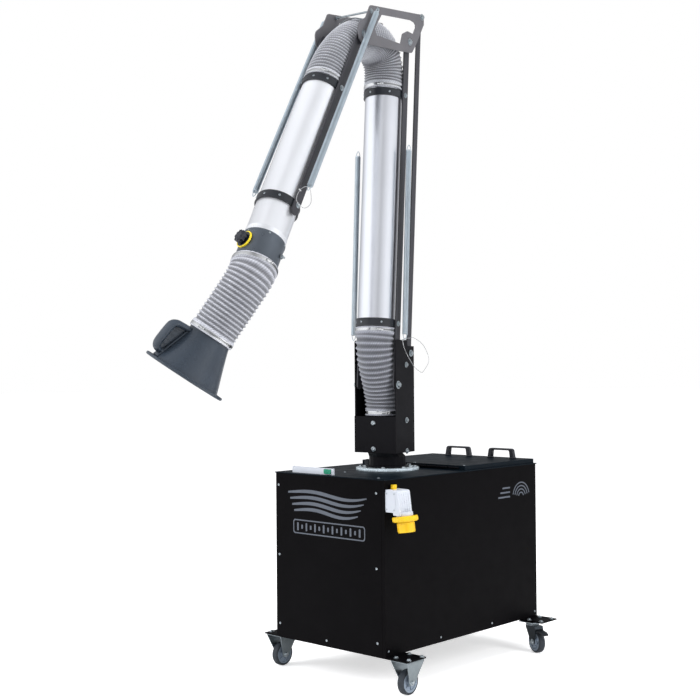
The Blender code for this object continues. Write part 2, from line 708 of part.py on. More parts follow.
def upper_arm(elbow_pivot):
    pivot = empty("upper_arm_axis", elbow_pivot, (0, *UPPER_PIVOT), (UPPER_LEAN, 0, 0))
    side_bars("upper_arm", pivot, bar_outline(BAR_HALF_WIDTH, -UPPER_BAR_END, 0.0))
    tube = duct(TUBE_RADIUS, -UPPER_TUBE_SPAN[1], -UPPER_TUBE_SPAN[0])
    add("upper_arm_tube", tube, "aluminium", pivot)
    for end, t in zip(("top", "bottom"), UPPER_COLLARS):
        collar(f"upper_arm_{end}_collar", pivot, 0.0, -t, 0.0)
    for side, sign in (("left", -1), ("right", 1)):
        path = [(sign * SPRING_H, 0.004, 0.128), (sign * SPRING_H, -0.010, -0.817)]
        add(f"upper_arm_{side}_spring", sweep(path, SPRING_RADIUS, 10), "spring_steel", pivot)
    return pivot


def hose_over(duct_radius):
    """Outer radius of a hose whose flat-sided bore slips over a duct."""
    return (duct_radius + 0.0005) / cos(pi / HOSE_SIDES) + HOSE_WALL


def hoses(base, arm, upper):
    """The three fabric hoses that bridge the joints of the duct."""
    bpy.context.view_layer.update()
    to_turret = base.matrix_world.inverted()
    lower_frame = to_turret @ arm.matrix_world
    upper_frame = to_turret @ upper.matrix_world
    arm_way = lower_frame.to_3x3() @ Vector((0, 0, 1))
    upper_way = upper_frame.to_3x3() @ Vector((0, 0, -1))
    hose_radius = hose_over(TUBE_RADIUS)

    top = lower_frame @ Vector((0, LOWER_TUBE_OFFSET, LOWER_TUBE_SPAN[0] + STUB))
    foot = (0, STUB_OFFSET, NECK_TOP_Z - STUB)
    path = hose_path(foot, (0, 0, 1), top, arm_way, (0.110, 0.110), STUB + 0.004, 6)
    foot_radius = hose_over(STUB_RADIUS)
    hose = sweep(path, foot_radius, HOSE_SIDES, HOSE_WALL, hose_radius + 0.001)
    add("turret_hose", hose, "hose_fabric", base)

    start = lower_frame @ Vector((0, LOWER_TUBE_OFFSET, LOWER_TUBE_SPAN[1] - STUB))
    end = upper_frame @ Vector((0, 0, -UPPER_TUBE_SPAN[0] - STUB))
    path = hose_path(start, arm_way, end, upper_way, (0.250, 0.330), STUB + 0.004, 12)
    add("elbow_hose", sweep(path, hose_radius, HOSE_SIDES, HOSE_WALL), "hose_fabric", base)


# ---------------------------------------------------------------- damper and hood

def bracket(half_span, low_z, high_z, reach, closed_end):
    """Flat strap bent to a U: its cross piece reaches to a duct wall and its legs hold two pivots."""
    thick = 0.003
    legs_end = high_z if closed_end == low_z else low_z
    inward = thick if legs_end > closed_end else -thick
    outline = [
        (-reach, closed_end), (reach, closed_end), (reach, closed_end + inward),
        (half_span + thick, closed_end + inward), (half_span + thick, legs_end), (half_span, legs_end),
        (half_span, closed_end + inward), (-half_span, closed_end + inward), (-half_span, legs_end),
        (-half_span - thick, legs_end), (-half_span - thick, closed_end + inward), (-reach, closed_end + inward),
    ]
    return outline


def damper(upper):
    low, high = -DAMPER_SPAN[1], -DAMPER_SPAN[0]
    inner = DAMPER_RADIUS - 0.003
    shell = lathe([(DAMPER_RADIUS, low), (DAMPER_RADIUS, high), (inner, high), (inner, low)], DUCT_SIDES)
    housing = add("damper_housing", shell, "damper_grey", upper)
    yoke = bracket(YOKE_HALF_SPAN, -HOOD_JOINT_T - 0.010, low + 0.003, inner + 0.0015, low + 0.003)
    combine(housing, "UNION", [plate("Y", yoke, -0.010, 0.010)])
    turn = Matrix.Rotation(radians(VALVE_TURN), 3, "Z")
    shaft_way = turn @ Vector((0, -1, 0))
    centre = Vector((0, 0, -VALVE_T))
    bore = sweep([centre - shaft_way * 0.12, centre + shaft_way * 0.12], 0.0055, 10)
    combine(housing, "DIFFERENCE", [bore])
    axis = empty("valve_axis", upper, centre, (0, 0, VALVE_TURN))
    flap = sweep([(-0.001, 0, 0), (0.001, 0, 0)], 0.072, DUCT_SIDES)
    valve = add("damper_valve", flap, "black_plastic", axis)
    shaft = sweep([(0, 0.094, 0), (0, -0.112, 0)], 0.0045, 10)
    knob = sweep([(0, -0.100, 0), (0, -0.122, 0)], 0.024, 16)
    combine(valve, "UNION", [shaft, knob])


def hood(upper):
    cross_axis = empty("hood_nod_axis", upper, (0, 0, -HOOD_JOINT_T), (HOOD_NOD, 0, 0))
    outer = YOKE_HALF_SPAN - 0.004
    inner = outer - 0.008
    band = lathe([(outer, -0.008), (outer, 0.008), (inner, 0.008), (inner, -0.008)], 16)
    ring = add("hood_joint_ring", band, "zinc", cross_axis)
    middle = (outer + inner) / 2
    reach = YOKE_HALF_SPAN - GAP
    pins = []
    for x, y in ((1, 0), (-1, 0), (0, 1), (0, -1)):
        pins.append(sweep([(x * middle, y * middle, 0), (x * reach, y * reach, 0)], 0.005, 8))
    combine(ring, "UNION", pins)

    hood_axis = empty("hood_swing_axis", cross_axis, (0, 0, 0), (0, HOOD_SWING, 0))
    wall = 0.003
    neck = DAMPER_RADIUS
    collar_top, collar_end = -HOOD_COLLAR[0], -HOOD_COLLAR[1]
    mouth = -HOOD_CONE_END
    profile = [
        (neck, collar_top), (neck, collar_end), (HOOD_MOUTH_RADIUS, mouth + 0.0085),
        (HOOD_FLANGE_RADIUS, mouth + 0.0045), (HOOD_FLANGE_RADIUS, mouth), (HOOD_MOUTH_RADIUS - wall, mouth),
        (neck - wall, collar_end), (neck - wall, collar_top),
    ]
    cone = add("hood_cone", lathe(profile, 24), "black_plastic", hood_axis)
    yoke = bracket(YOKE_HALF_SPAN, collar_top - 0.003, 0.010, neck - wall + 0.0015, collar_top - 0.003)
    grip = rounded([
        (0.0850, -0.286, 0), (0.150, -0.288, 0.014), (0.166, -0.406, 0.016), (0.1300, -0.417, 0),
        (0.1250, -0.402, 0), (0.148, -0.393, 0.010), (0.134, -0.304, 0.010), (0.0905, -0.301, 0),
    ], 2)
    handle = plate("Y", grip, -0.014, 0.014)
    turn = Matrix.Rotation(radians(HOOD_HANDLE_TURN), 4, "Z")
    bmesh.ops.transform(handle, matrix=turn, verts=handle.verts[:])
    combine(cone, "UNION", [plate("X", yoke, -0.010, 0.010), handle])

    bpy.context.view_layer.update()
    to_upper = upper.matrix_world.inverted() @ hood_axis.matrix_world
    overlap = 0.025
    start = (0, 0, -DAMPER_SPAN[1] + overlap)
    end = to_upper @ Vector((0, 0, collar_top - overlap))
    way = to_upper.to_3x3() @ Vector((0, 0, -1))
    path = hose_path(start, (0, 0, -1), end, way, (0.045, 0.120), overlap + 0.003, 8)
    hose_radius = hose_over(DAMPER_RADIUS)
    add("hood_hose", sweep(path, hose_radius, HOSE_SIDES, HOSE_WALL), "hose_fabric", upper)


# ---------------------------------------------------------------- assembly

def stand_on_origin(root):
    """Shift the whole machine so that the bottom centre of its box is the world origin."""
    bpy.context.view_layer.update()
    depsgraph = bpy.context.evaluated_depsgraph_get()
    low = Vector((1e9, 1e9, 1e9))
    high = -low
    for item in bpy.context.scene.objects:
        if item.type != "MESH" or item.hide_render:
            continue
        evaluated = item.evaluated_get(depsgraph)
        mesh = evaluated.to_mesh()
        for vertex in mesh.vertices:
            point = item.matrix_world @ vertex.co
            low = Vector(map(min, low, point))
            high = Vector(map(max, high, point))
        evaluated.to_mesh_clear()
    root.location = (-(low.x + high.x) / 2, -(low.y + high.y) / 2, -low.z)


def build():
    for item in list(bpy.data.objects):
        bpy.data.objects.remove(item, do_unlink=True)
    root = empty("machine", None)
    cabinet_shell(root)
    lid(root)
    controls(root)
    power_inlet(root)
    air_works(root)
    castors(root)
    base = pedestal(root)
    turret(base)
    arm = lower_arm(base)
    link(base)
    elbow_pivot = elbow(arm)
    upper = upper_arm(elbow_pivot)
    hoses(base, arm, upper)
    damper(upper)
    hood(upper)
    stand_on_origin(root)


build()
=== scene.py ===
"""Looks of the mobile fume extractor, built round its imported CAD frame. Metres, +Z up, front faces -Y."""

import json
from math import atan2, cos, pi, radians, sin, tan

import bmesh
import bpy
import numpy as np
from mathutils import Matrix, Vector, noise


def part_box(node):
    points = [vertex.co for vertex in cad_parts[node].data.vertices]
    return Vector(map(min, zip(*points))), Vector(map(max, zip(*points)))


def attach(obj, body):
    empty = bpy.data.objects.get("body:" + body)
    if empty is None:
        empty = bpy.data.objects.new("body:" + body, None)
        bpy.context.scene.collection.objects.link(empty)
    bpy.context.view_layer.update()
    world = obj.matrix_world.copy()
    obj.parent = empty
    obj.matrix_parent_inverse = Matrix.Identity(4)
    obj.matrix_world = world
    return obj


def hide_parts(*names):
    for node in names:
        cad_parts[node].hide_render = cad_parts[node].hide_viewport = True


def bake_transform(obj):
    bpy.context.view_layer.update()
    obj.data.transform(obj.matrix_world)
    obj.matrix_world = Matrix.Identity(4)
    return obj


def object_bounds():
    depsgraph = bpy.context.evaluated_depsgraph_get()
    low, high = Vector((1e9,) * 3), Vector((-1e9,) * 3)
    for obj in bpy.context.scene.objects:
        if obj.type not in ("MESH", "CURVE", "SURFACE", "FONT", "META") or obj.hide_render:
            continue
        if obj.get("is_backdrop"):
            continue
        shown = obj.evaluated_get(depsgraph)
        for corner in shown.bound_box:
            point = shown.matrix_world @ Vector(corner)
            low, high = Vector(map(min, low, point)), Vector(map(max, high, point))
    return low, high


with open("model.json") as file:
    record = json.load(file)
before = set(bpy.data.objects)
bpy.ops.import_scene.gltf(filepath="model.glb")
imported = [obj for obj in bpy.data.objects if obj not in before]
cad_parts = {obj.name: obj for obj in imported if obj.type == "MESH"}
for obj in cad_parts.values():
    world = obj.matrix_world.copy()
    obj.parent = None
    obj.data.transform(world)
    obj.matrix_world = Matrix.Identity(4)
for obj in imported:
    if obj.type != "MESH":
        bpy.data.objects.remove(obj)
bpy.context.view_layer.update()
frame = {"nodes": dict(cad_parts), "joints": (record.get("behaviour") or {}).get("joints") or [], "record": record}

NODES = frame["nodes"]
JOINTS = {joint["name"]: joint for joint in frame["joints"]}


# ---------------------------------------------------------------- frames of the moving pieces

def joint_spot(name):
    return Vector(JOINTS[name]["pos_m"])


def joint_way(name):
    return Vector(JOINTS[name]["axis"]).normalized()


def frame_at(origin, x, y, z):
    """Matrix with those axes and that origin."""
    return Matrix((*((x[k], y[k], z[k], origin[k]) for k in range(3)), (0, 0, 0, 1)))


def axes(origin, x, z):
    """Matrix with its X near x and its Z exactly along z."""
    z = Vector(z).normalized()
    y = z.cross(Vector(x)).normalized()
    return frame_at(origin, y.cross(z), y, z)


def shifted(frame_of, x, y, z):
    """Frame moved along its own axes."""
    return frame_of @ Matrix.Translation((x, y, z))


def spun(angle, axis="Z"):
    """Turn about an axis, in degrees."""
    return Matrix.Rotation(radians(angle), 4, axis)


UP = Vector((0, 0, 1))
ACROSS = joint_way("lower_arm_tilt")
top_low, top_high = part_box("top_panel")
CABINET = Matrix.Translation(((top_low.x + top_high.x) / 2, (top_low.y + top_high.y) / 2, 0))
turret_spot = joint_spot("turret_swivel")
TURRET = axes((turret_spot.x, turret_spot.y, 0), ACROSS, UP)
LOWER = axes(joint_spot("lower_arm_tilt"), ACROSS, joint_spot("elbow_level") - joint_spot("lower_arm_tilt"))
ELBOW = axes(joint_spot("elbow_level"), ACROSS, UP)
UPPER = axes(joint_spot("upper_arm_tilt"), ACROSS, joint_spot("upper_arm_tilt") - joint_spot("hood_nod"))
VALVE_WAY = joint_way("damper_turn")
VALVE = axes(joint_spot("damper_turn"), UPPER.to_3x3().col[2].cross(VALVE_WAY), UPPER.to_3x3().col[2])
NOD = axes(joint_spot("hood_nod"), ACROSS, ACROSS.cross(joint_way("hood_swing")))
HOOD_SWING = 25.5
HOOD = NOD @ spun(HOOD_SWING, "Y")
inlet = next(mount for mount in frame["record"]["mounts"] if mount["name"] == "mains_inlet")
INLET_DEPTH = 0.068
inlet_way = Vector(inlet["axis"]).normalized()
INLET = axes(Vector(inlet["pos_m"]) - inlet_way * INLET_DEPTH, (1, 0, 0), -inlet_way)


# ---------------------------------------------------------------- shapes

class Shape:
    """Vertices, faces and texture coordinates that grow into one mesh."""

    def __init__(self, first=None, place=None):
        self.verts = []
        self.faces = []
        self.uvs = []
        # rib depth at each vertex, for the hose cloth's painted shade and highlight
        self.painted_rib_shades = []
        if first:
            self.take(first, place)

    def take(self, other, place=None):
        verts, faces = (other.verts, other.faces) if isinstance(other, Shape) else other
        base = len(self.verts)
        if place is not None:
            verts = [place @ Vector(vert) for vert in verts]
        self.verts += [tuple(vert) for vert in verts]
        self.faces += [[base + index for index in face] for face in faces]
        return self


def circle(radius, sides):
    return [(radius * cos(2 * pi * k / sides), radius * sin(2 * pi * k / sides)) for k in range(sides)]


def corners(low, high):
    """Rectangle between two corners."""
    return [(low[0], low[1]), (high[0], low[1]), (high[0], high[1]), (low[0], high[1])]


def rounded(turns, steps=4):
    """Outline of (a, b, radius) corners; a corner with a radius becomes an arc."""
    points = []
    for index, (a, b, radius) in enumerate(turns):
        here = Vector((a, b))
        if radius == 0:
            points.append((a, b))
            continue
        before = (Vector(turns[index - 1][:2]) - here).normalized()
        after = (Vector(turns[(index + 1) % len(turns)][:2]) - here).normalized()
        half_angle = before.angle(after) / 2
        centre = here + (before + after).normalized() * radius / sin(half_angle)
        start = here + before * radius / tan(half_angle) - centre
        end = here + after * radius / tan(half_angle) - centre
        turn = atan2(start.cross(end), start.dot(end))
        for step in range(steps + 1):
            points.append(tuple(centre + Matrix.Rotation(turn * step / steps, 2) @ start))
    return points


def soft_box(low, high, radius, steps=4):
    """Rounded rectangle between two corners."""
    return rounded([(*corner, radius) for corner in corners(low, high)], steps)

def ring_faces(lower, upper):
    """Faces between two rings of indices; either may be a single point."""
    count = max(len(lower), len(upper))
    faces = []
    for k in range(count):
        n = (k + 1) % count
        if len(lower) == 1:
            faces.append([lower[0], upper[n], upper[k]])
        elif len(upper) == 1:
            faces.append([lower[k], lower[n], upper[0]])
        else:
            faces.append([lower[k], lower[n], upper[n], upper[k]])
    return faces


def revolve(profile, sides=64, lobes=None):
    """(radius, height) profile turned about Z. Its ends join, unless both are on the axis."""
    verts, rings, faces = [], [], []
    for radius, height in profile:
        if radius < 1e-6:
            rings.append([len(verts)])
            verts.append((0.0, 0.0, height))
            continue
        ring = []
        for k in range(sides):
            angle = 2 * pi * k / sides
            size = radius * (lobes(angle) if lobes else 1.0)
            ring.append(len(verts))
            verts.append((size * cos(angle), size * sin(angle), height))
        rings.append(ring)
    for lower, upper in zip(rings, rings[1:] + rings[:1]):
        if len(lower) > 1 or len(upper) > 1:
            faces += ring_faces(lower, upper)
    return verts, faces


def soft_ring(inner, outer, low, high, edge, sides=64):
    """Ring of rectangular section with rounded edges."""
    return revolve(soft_box((inner, low), (outer, high), edge, 3), sides)


def prism(outline, low, high, axis="Z", holes=()):
    """Outline drawn across an axis and extruded along it."""
    def spot(a, b, depth):
        return {"X": (depth, a, b), "Y": (a, depth, b), "Z": (a, b, depth)}[axis]

    count = len(outline)
    if not holes:
        verts = [spot(a, b, low) for a, b in outline] + [spot(a, b, high) for a, b in outline]
        faces = [list(range(count))[::-1], list(range(count, 2 * count))]
        faces += [[k, (k + 1) % count, count + (k + 1) % count, count + k] for k in range(count)]
        return verts, faces
    mesh = bmesh.new()
    edges = []
    for loop in (outline, *holes):
        ring = [mesh.verts.new(spot(a, b, low)) for a, b in loop]
        edges += [mesh.edges.new((ring[k - 1], ring[k])) for k in range(len(ring))]
    bmesh.ops.triangle_fill(mesh, edges=edges, use_beauty=True)
    grown = bmesh.ops.extrude_face_region(mesh, geom=mesh.faces[:])
    moved = [item for item in grown["geom"] if isinstance(item, bmesh.types.BMVert)]
    bmesh.ops.translate(mesh, verts=moved, vec=Vector(spot(0, 0, high - low)))
    mesh.verts.index_update()
    verts = [tuple(vert.co) for vert in mesh.verts]
    faces = [[vert.index for vert in face.verts] for face in mesh.faces]
    mesh.free()
    return verts, faces


def block(low, high):
    return prism(corners(low, high), low[2], high[2])


def tube(points, radius, sides=12, closed=False):
    """Round bar along a path; radius may be a number or one for each point."""
    points = [Vector(point) for point in points]
    count = len(points)
    sizes = radius if isinstance(radius, (list, tuple)) else [radius] * count
    verts, rings = [], []
    side = None
    for index, point in enumerate(points):
        if closed:
            along = points[(index + 1) % count] - points[index - 1]
        else:
            along = points[min(index + 1, count - 1)] - points[max(index - 1, 0)]
        along.normalize()
        if side is None:
            side = along.orthogonal().normalized()
        side = (side - along * side.dot(along)).normalized()
        up = along.cross(side)
        rings.append(list(range(len(verts), len(verts) + sides)))
        for a, b in circle(sizes[index], sides):
            verts.append(tuple(point + side * a + up * b))
    faces = []
    for lower, upper in zip(rings, rings[1:]):
        faces += ring_faces(lower, upper)
    if closed:
        faces += ring_faces(rings[-1], rings[0])
    else:
        faces += [rings[0][::-1], rings[-1]]
    return verts, faces


def smooth_path(points, steps=8, closed=False):
    """Catmull-Rom curve through the points."""
    points = [Vector(point) for point in points]
    count = len(points)
    spans = count if closed else count - 1
    made = []
    for k in range(spans):
        if closed:
            p0, p1, p2, p3 = (points[(k + j) % count] for j in (-1, 0, 1, 2))
        else:
            p0, p1, p2, p3 = points[max(k - 1, 0)], points[k], points[k + 1], points[min(k + 2, count - 1)]
        for step in range(steps):
            t = step / steps
            made.append(0.5 * (2 * p1 + (p2 - p0) * t + (2 * p0 - 5 * p1 + 4 * p2 - p3) * t * t
                               + (3 * p1 - p0 - 3 * p2 + p3) * t ** 3))
    return made if closed else made + [points[-1]]


# ---------------------------------------------------------------- materials

def feed(node, *first, **named):
    """Set a shader node's inputs, the first ones in order and others by name, to values or to sockets."""
    pairs = list(enumerate(first)) + [(name.replace("_", " "), value) for name, value in named.items()]
    for key, value in pairs:
        if isinstance(value, bpy.types.NodeSocket):
            node.id_data.links.new(value, node.inputs[key])
        else:
            node.inputs[key].default_value = value
    return node


def add(tree, kind, *first, **named):
    return feed(tree.nodes.new("ShaderNode" + kind), *first, **named)


def tinted(tree, colour, factor, kind="MULTIPLY"):
    mixer = tree.nodes.new("ShaderNodeMix")
    mixer.data_type = "RGBA"
    mixer.blend_type = kind
    return feed(mixer, Factor=1.0, A=colour, B=factor).outputs["Result"]


def new_material(name):
    made = bpy.data.materials.new(name)
    made.use_nodes = True
    return made, made.node_tree, made.node_tree.nodes["Principled BSDF"]


def shader(name, colour, rough, metal=0.0, mottle=0.08, mottle_scale=9.0, smear=0.06,
           grain=600, bump=0.02, stretch=(1, 1, 1), sheen=0.0, spangle=0.0, specular=0.5, dust=0.0):
    """Principled material with colour mottling, smeared roughness and a fine grain, all at real scale."""
    made, tree, shade = new_material(name)
    spot = add(tree, "TexCoord").outputs["Object"]

    def cloudy(scale, detail, way=(1, 1, 1)):
        mapped = add(tree, "Mapping", Vector=spot, Scale=way).outputs["Vector"]
        return add(tree, "TexNoise", Vector=mapped, Scale=scale, Detail=detail).outputs["Fac"]

    def spread(factor, low, high):
        remap = add(tree, "MapRange", Value=factor, From_Min=0.3, From_Max=0.7, To_Min=low, To_Max=high)
        return remap.outputs["Result"]

    base = tinted(tree, (*colour, 1.0), spread(cloudy(mottle_scale, 5.0), 1 - mottle, 1 + mottle))
    if spangle:
        cells = add(tree, "TexVoronoi", Vector=spot, Scale=160.0)
        red = add(tree, "SeparateColor", Color=cells.outputs["Color"]).outputs["Red"]
        base = tinted(tree, base, spread(red, 1 - spangle, 1 + spangle))
    if dust:
        base = tinted(tree, base, spread(cloudy(55.0, 8.0), 0.0, dust), "ADD")
    patchy = spread(cloudy(mottle_scale * 2.3, 6.0, stretch), rough - smear, rough + smear)
    relief = add(tree, "Bump", Strength=bump * 10, Distance=0.0002, Height=cloudy(grain, 3.0, stretch))
    feed(shade, Base_Color=base, Roughness=patchy, Normal=relief.outputs["Normal"], Metallic=metal,
         Sheen_Weight=sheen, Specular_IOR_Level=specular)
    return made


def hose_cloth(name, colour):
    """Coated cloth: a diagonal twill and a fine crossed weave, laid along the hose in metres, with painted shade
    in the rib valleys and a painted highlight on the ridges.
    """
    made, tree, shade = new_material(name)
    lay = add(tree, "UVMap")
    lay.uv_map = "length"
    rib_shading_node = add(tree, "Attribute")
    rib_shading_node.attribute_name = "painted_rib_shading"

    def waves(turn, scale, distortion):
        turned = add(tree, "Mapping", Vector=lay.outputs["UV"], Rotation=(0, 0, radians(turn)))
        texture = add(tree, "TexWave", Scale=scale, Distortion=distortion, Detail=2.0)
        return feed(texture, Vector=turned.outputs["Vector"]).outputs["Fac"]

    def join(a, b, kind):
        joined = add(tree, "Math", a, b)
        joined.operation = kind
        return joined.outputs["Value"]

    twill = waves(38.0, 38.0, 3.0)
    weave = join(waves(45.0, 260.0, 0.6), waves(-45.0, 260.0, 0.6), "MULTIPLY")
    blotch = add(tree, "TexNoise", Vector=add(tree, "TexCoord").outputs["Object"], Scale=30.0, Detail=6.0)
    base = (*colour, 1.0)
    # painted rib shading: the rib depth lifts the ridges to 1.3 times (painted highlight) and darkens the valleys
    # to 0.38 (painted shade)
    for factor, low, high in ((twill, 0.8, 1.1), (weave, 0.86, 1.06), (blotch.outputs["Fac"], 0.78, 1.18),
                              (rib_shading_node.outputs["Fac"], 1.3, 0.38)):
        remap = add(tree, "MapRange", Value=factor, To_Min=low, To_Max=high)
        base = tinted(tree, base, remap.outputs["Result"])
    height = join(join(twill, 0.7, "MULTIPLY"), weave, "ADD")
    relief = add(tree, "Bump", Strength=0.5, Distance=0.0006, Height=height)
    feed(shade, Base_Color=base, Roughness=0.82, Normal=relief.outputs["Normal"], Sheen_Weight=0.25)
    return made


BLACK = shader("black_powder_coat", (0.0028, 0.0025, 0.003), 0.42, mottle=0.12, smear=0.07, grain=1100,
               bump=0.05, specular=0.03, dust=0.0003)
# the black coat again with a bluish tint: a painted reflection of the sky on the top panel and lid
TOP_BLACK_PAINTED_REFLECTION = shader("black_coat_painted_sky_reflection", (0.0018, 0.0052, 0.009), 0.42, mottle=0.12, grain=1100, bump=0.05,
                   specular=0.08, dust=0.0003)
GREY = shader("grey_powder_coat", (0.105, 0.103, 0.112), 0.38, grain=1100, bump=0.05)
ARM_BLACK = shader("arm_black_coat", (0.0042, 0.004, 0.0055), 0.38, mottle=0.1, grain=1100, bump=0.04,
                   specular=0.1)
BAR_GREY = shader("dark_grey_coat", (0.04, 0.04, 0.046), 0.38, grain=1100, bump=0.05, specular=0.25)
HOOD_COAT = shader("hood_coat", (0.034, 0.045, 0.061), 0.3, mottle=0.1, grain=700, bump=0.05, specular=0.45)
FORK_ZINC = shader("fork_zinc_plate", (0.29, 0.33, 0.35), 0.34, metal=1, mottle_scale=25, grain=500,
                   spangle=0.03)
# darker copy of the zinc plate: painted shade for the rear forks
ZINC_PAINTED_SHADE = shader("zinc_plate_painted_shade", (0.06, 0.07, 0.08), 0.36, metal=1, mottle_scale=25, grain=500)
ZINC = shader("zinc_plate", (0.46, 0.51, 0.54), 0.3, metal=1, mottle=0.06, mottle_scale=25, grain=500,
              spangle=0.03)
GALVANISED = shader("galvanised_sheet", (0.52, 0.54, 0.56), 0.42, metal=1, mottle=0.1, mottle_scale=20,
                    smear=0.1, grain=400, spangle=0.22)
STEEL = shader("band_steel", (0.72, 0.73, 0.74), 0.22, metal=1, mottle=0.06)
SPRING = shader("spring_wire", (0.6, 0.68, 0.74), 0.34, metal=0.85, mottle_scale=14, smear=0.05, grain=900,
                bump=0.01)
BRIGHT_TUBE = shader("bright_tube", (0.86, 0.875, 0.91), 0.32, metal=0.68, mottle=0.02, mottle_scale=4,
                     smear=0.015, grain=700, bump=0.004)
ALUMINIUM = shader("aluminium_tube", (0.86, 0.88, 0.93), 0.3, metal=1, mottle=0.02, mottle_scale=4,
                   smear=0.015, grain=700, bump=0.004, stretch=(1, 1, 0.02))
CLOTH = hose_cloth("hose_cloth", (0.47, 0.48, 0.53))
# darker copies of the hose cloth: painted shade for the elbow hose and, darker still, for the turret hose
ELBOW_CLOTH_PAINTED_SHADE = hose_cloth("elbow_hose_cloth_painted_shade", (0.35, 0.36, 0.395))
TURRET_CLOTH_PAINTED_SHADE = hose_cloth("turret_hose_cloth_painted_shade", (0.27, 0.28, 0.32))
PLASTIC = shader("black_moulding", (0.01, 0.012, 0.016), 0.34, mottle=0.1, smear=0.05, grain=700, bump=0.05,
                 specular=0.55)
KNOB_PLASTIC = shader("knob_moulding", (0.012, 0.014, 0.022), 0.28, smear=0.05, bump=0.03)
HANDLE = shader("handle_moulding", (0.01, 0.011, 0.016), 0.3, grain=800, bump=0.06)
DAMPER = shader("damper_coat", (0.085, 0.1, 0.12), 0.3, metal=0.45, smear=0.05, grain=900, bump=0.03)
WHITE = shader("white_moulding", (0.57, 0.6, 0.66), 0.42, mottle=0.04, smear=0.05, bump=0.03)
YELLOW = shader("yellow_moulding", (0.8, 0.5, 0.006), 0.36, mottle=0.05, bump=0.03)
DIAL = shader("dial_yellow", (0.8, 0.62, 0.02), 0.35, mottle=0.05, smear=0.04)
GREEN = shader("green_moulding", (0.006, 0.24, 0.135), 0.3, mottle=0.05, smear=0.05)
TREAD = shader("grey_tread", (0.016, 0.022, 0.03), 0.62, mottle=0.14, mottle_scale=30, smear=0.08, grain=500,
               bump=0.1, dust=0.012)
DISC = shader("wheel_disc", (0.23, 0.28, 0.345), 0.38, mottle=0.06, mottle_scale=30, grain=500, bump=0.04)
FLANGE_STEEL = shader("flange_steel", (0.66, 0.76, 0.82), 0.26, metal=0.45, mottle=0.12, mottle_scale=20,
                      smear=0.08, grain=500)
PAPER = shader("filter_paper", (0.76, 0.75, 0.68), 0.92, mottle=0.06, smear=0.03, grain=1500, bump=0.12,
               sheen=0.1)
MARK = shader("panel_print", (0.085, 0.098, 0.122), 0.5, mottle=0.05, smear=0.05, grain=900, bump=0.03)
COPPER = shader("contact_brass", (0.75, 0.55, 0.25), 0.25, metal=1, mottle=0.06, smear=0.05, bump=0.01)


# ---------------------------------------------------------------- pieces

def piece(name, shape, material, body, place=None, replaces=(), bevel=0.0, segments=2, smooth=35.0,
          blend=None):
    """One visible piece. blend gives the second body and the start and end points of the bend, which are not used:
    a piece given a blend is baked in place and joins no body.
    """
    made_shape = Shape(shape, place)
    data = bpy.data.meshes.new(name)
    data.from_pydata(made_shape.verts, [], made_shape.faces)
    if isinstance(shape, Shape) and shape.uvs:
        layer = data.uv_layers.new(name="length")
        layer.data.foreach_set("uv", [value for uv in shape.uvs for value in uv])
    # rib depths go to the mesh as an attribute, for the cloth's painted shade and highlight
    if isinstance(shape, Shape) and shape.painted_rib_shades:
        data.attributes.new("painted_rib_shading", "FLOAT", "POINT").data.foreach_set("value", shape.painted_rib_shades)
    data.validate()
    data.materials.append(material)
    made = bpy.data.objects.new(name, data)
    bpy.context.scene.collection.objects.link(made)
    mesh = bmesh.new()
    mesh.from_mesh(data)
    bmesh.ops.recalc_face_normals(mesh, faces=mesh.faces[:])
    mesh.to_mesh(data)
    mesh.free()
    data.shade_smooth()
    data.set_sharp_from_angle(angle=radians(smooth))
    soften(made, bevel, segments)
    if blend:
        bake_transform(made)
    else:
        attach(made, body)
    if replaces:
        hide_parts(*replaces)
    return made


def soften(made, width, segments=2):
    """Small rounded edges, so that each edge catches the light."""
    if width:
        bevel = made.modifiers.new("edges", "BEVEL")
        bevel.width = width
        bevel.segments = segments
        bevel.limit_method = "ANGLE"
        bevel.angle_limit = radians(40)
        bevel.harden_normals = True


def dress(name, material, bevel=0.0, segments=2):
    """Give a CAD node its finish and soft edges."""
    node = NODES[name]
    node.data.materials.clear()
    node.data.materials.append(material)
    node.data.shade_smooth()
    node.data.set_sharp_from_angle(angle=radians(35))
    soften(node, bevel, segments)


def standing(spot, way):
    """Place at a spot with Z along the way a fastener's head points."""
    way = Vector(way).normalized()
    return Matrix.Translation(spot) @ way.to_track_quat("Z", "Y").to_matrix().to_4x4()


def button_head(size):
    """Domed socket screw on its washer face, of that outer radius."""
    profile = [
        (0, -0.001), (size * 0.95, -0.001), (size, 0.0004), (size * 0.97, size * 0.2),
        (size * 0.8, size * 0.42),
        (size * 0.58, size * 0.53), (size * 0.42, size * 0.54), (size * 0.38, size * 0.22), (0, size * 0.2),
    ]
    return revolve(profile, 20)


def hex_bolt(size, height=0.65):
    """Hexagon head of that corner radius, with a washer under it."""
    lift = 0.0016
    washer = rounded([(0, -0.001, 0), (size * 1.5, -0.001, 0), (size * 1.5, lift, 0.0005), (0, lift, 0)])
    top = lift + size * height
    head = [(0, lift - 0.0005), (size, lift - 0.0005), (size, top - size * 0.12), (size * 0.9, top),
            (size * 0.55, top), (size * 0.48, top - 0.0006), (0, top - 0.0006)]
    return Shape(revolve(washer, 28)).take(revolve(head, 6))


def fasteners(name, kind, spots, body, place, material=ZINC):
    """Identical fasteners of one body, at (spot, way) pairs in the body's own frame."""
    made = Shape()
    for turn, (spot, way) in enumerate(spots):
        made.take(kind, standing(Vector(spot), way) @ spun(17.0 * turn))
    return piece(name, made, material, body, place, smooth=38)


def sideways(x, spots, sides=(-1, 1)):
    """Fastener spots facing outward at x on each side, from their (y, z) pairs."""
    return [((side * x, y, z), (side, 0, 0)) for side in sides for y, z in spots]


def radial(radius, angles, z=0.0):
    """Fastener spots facing outward round a circle."""
    ways = [Vector((cos(radians(angle)), sin(radians(angle)), 0)) for angle in angles]
    return [(way * radius + Vector((0, 0, z)), way) for way in ways]


# ---------------------------------------------------------------- cabinet

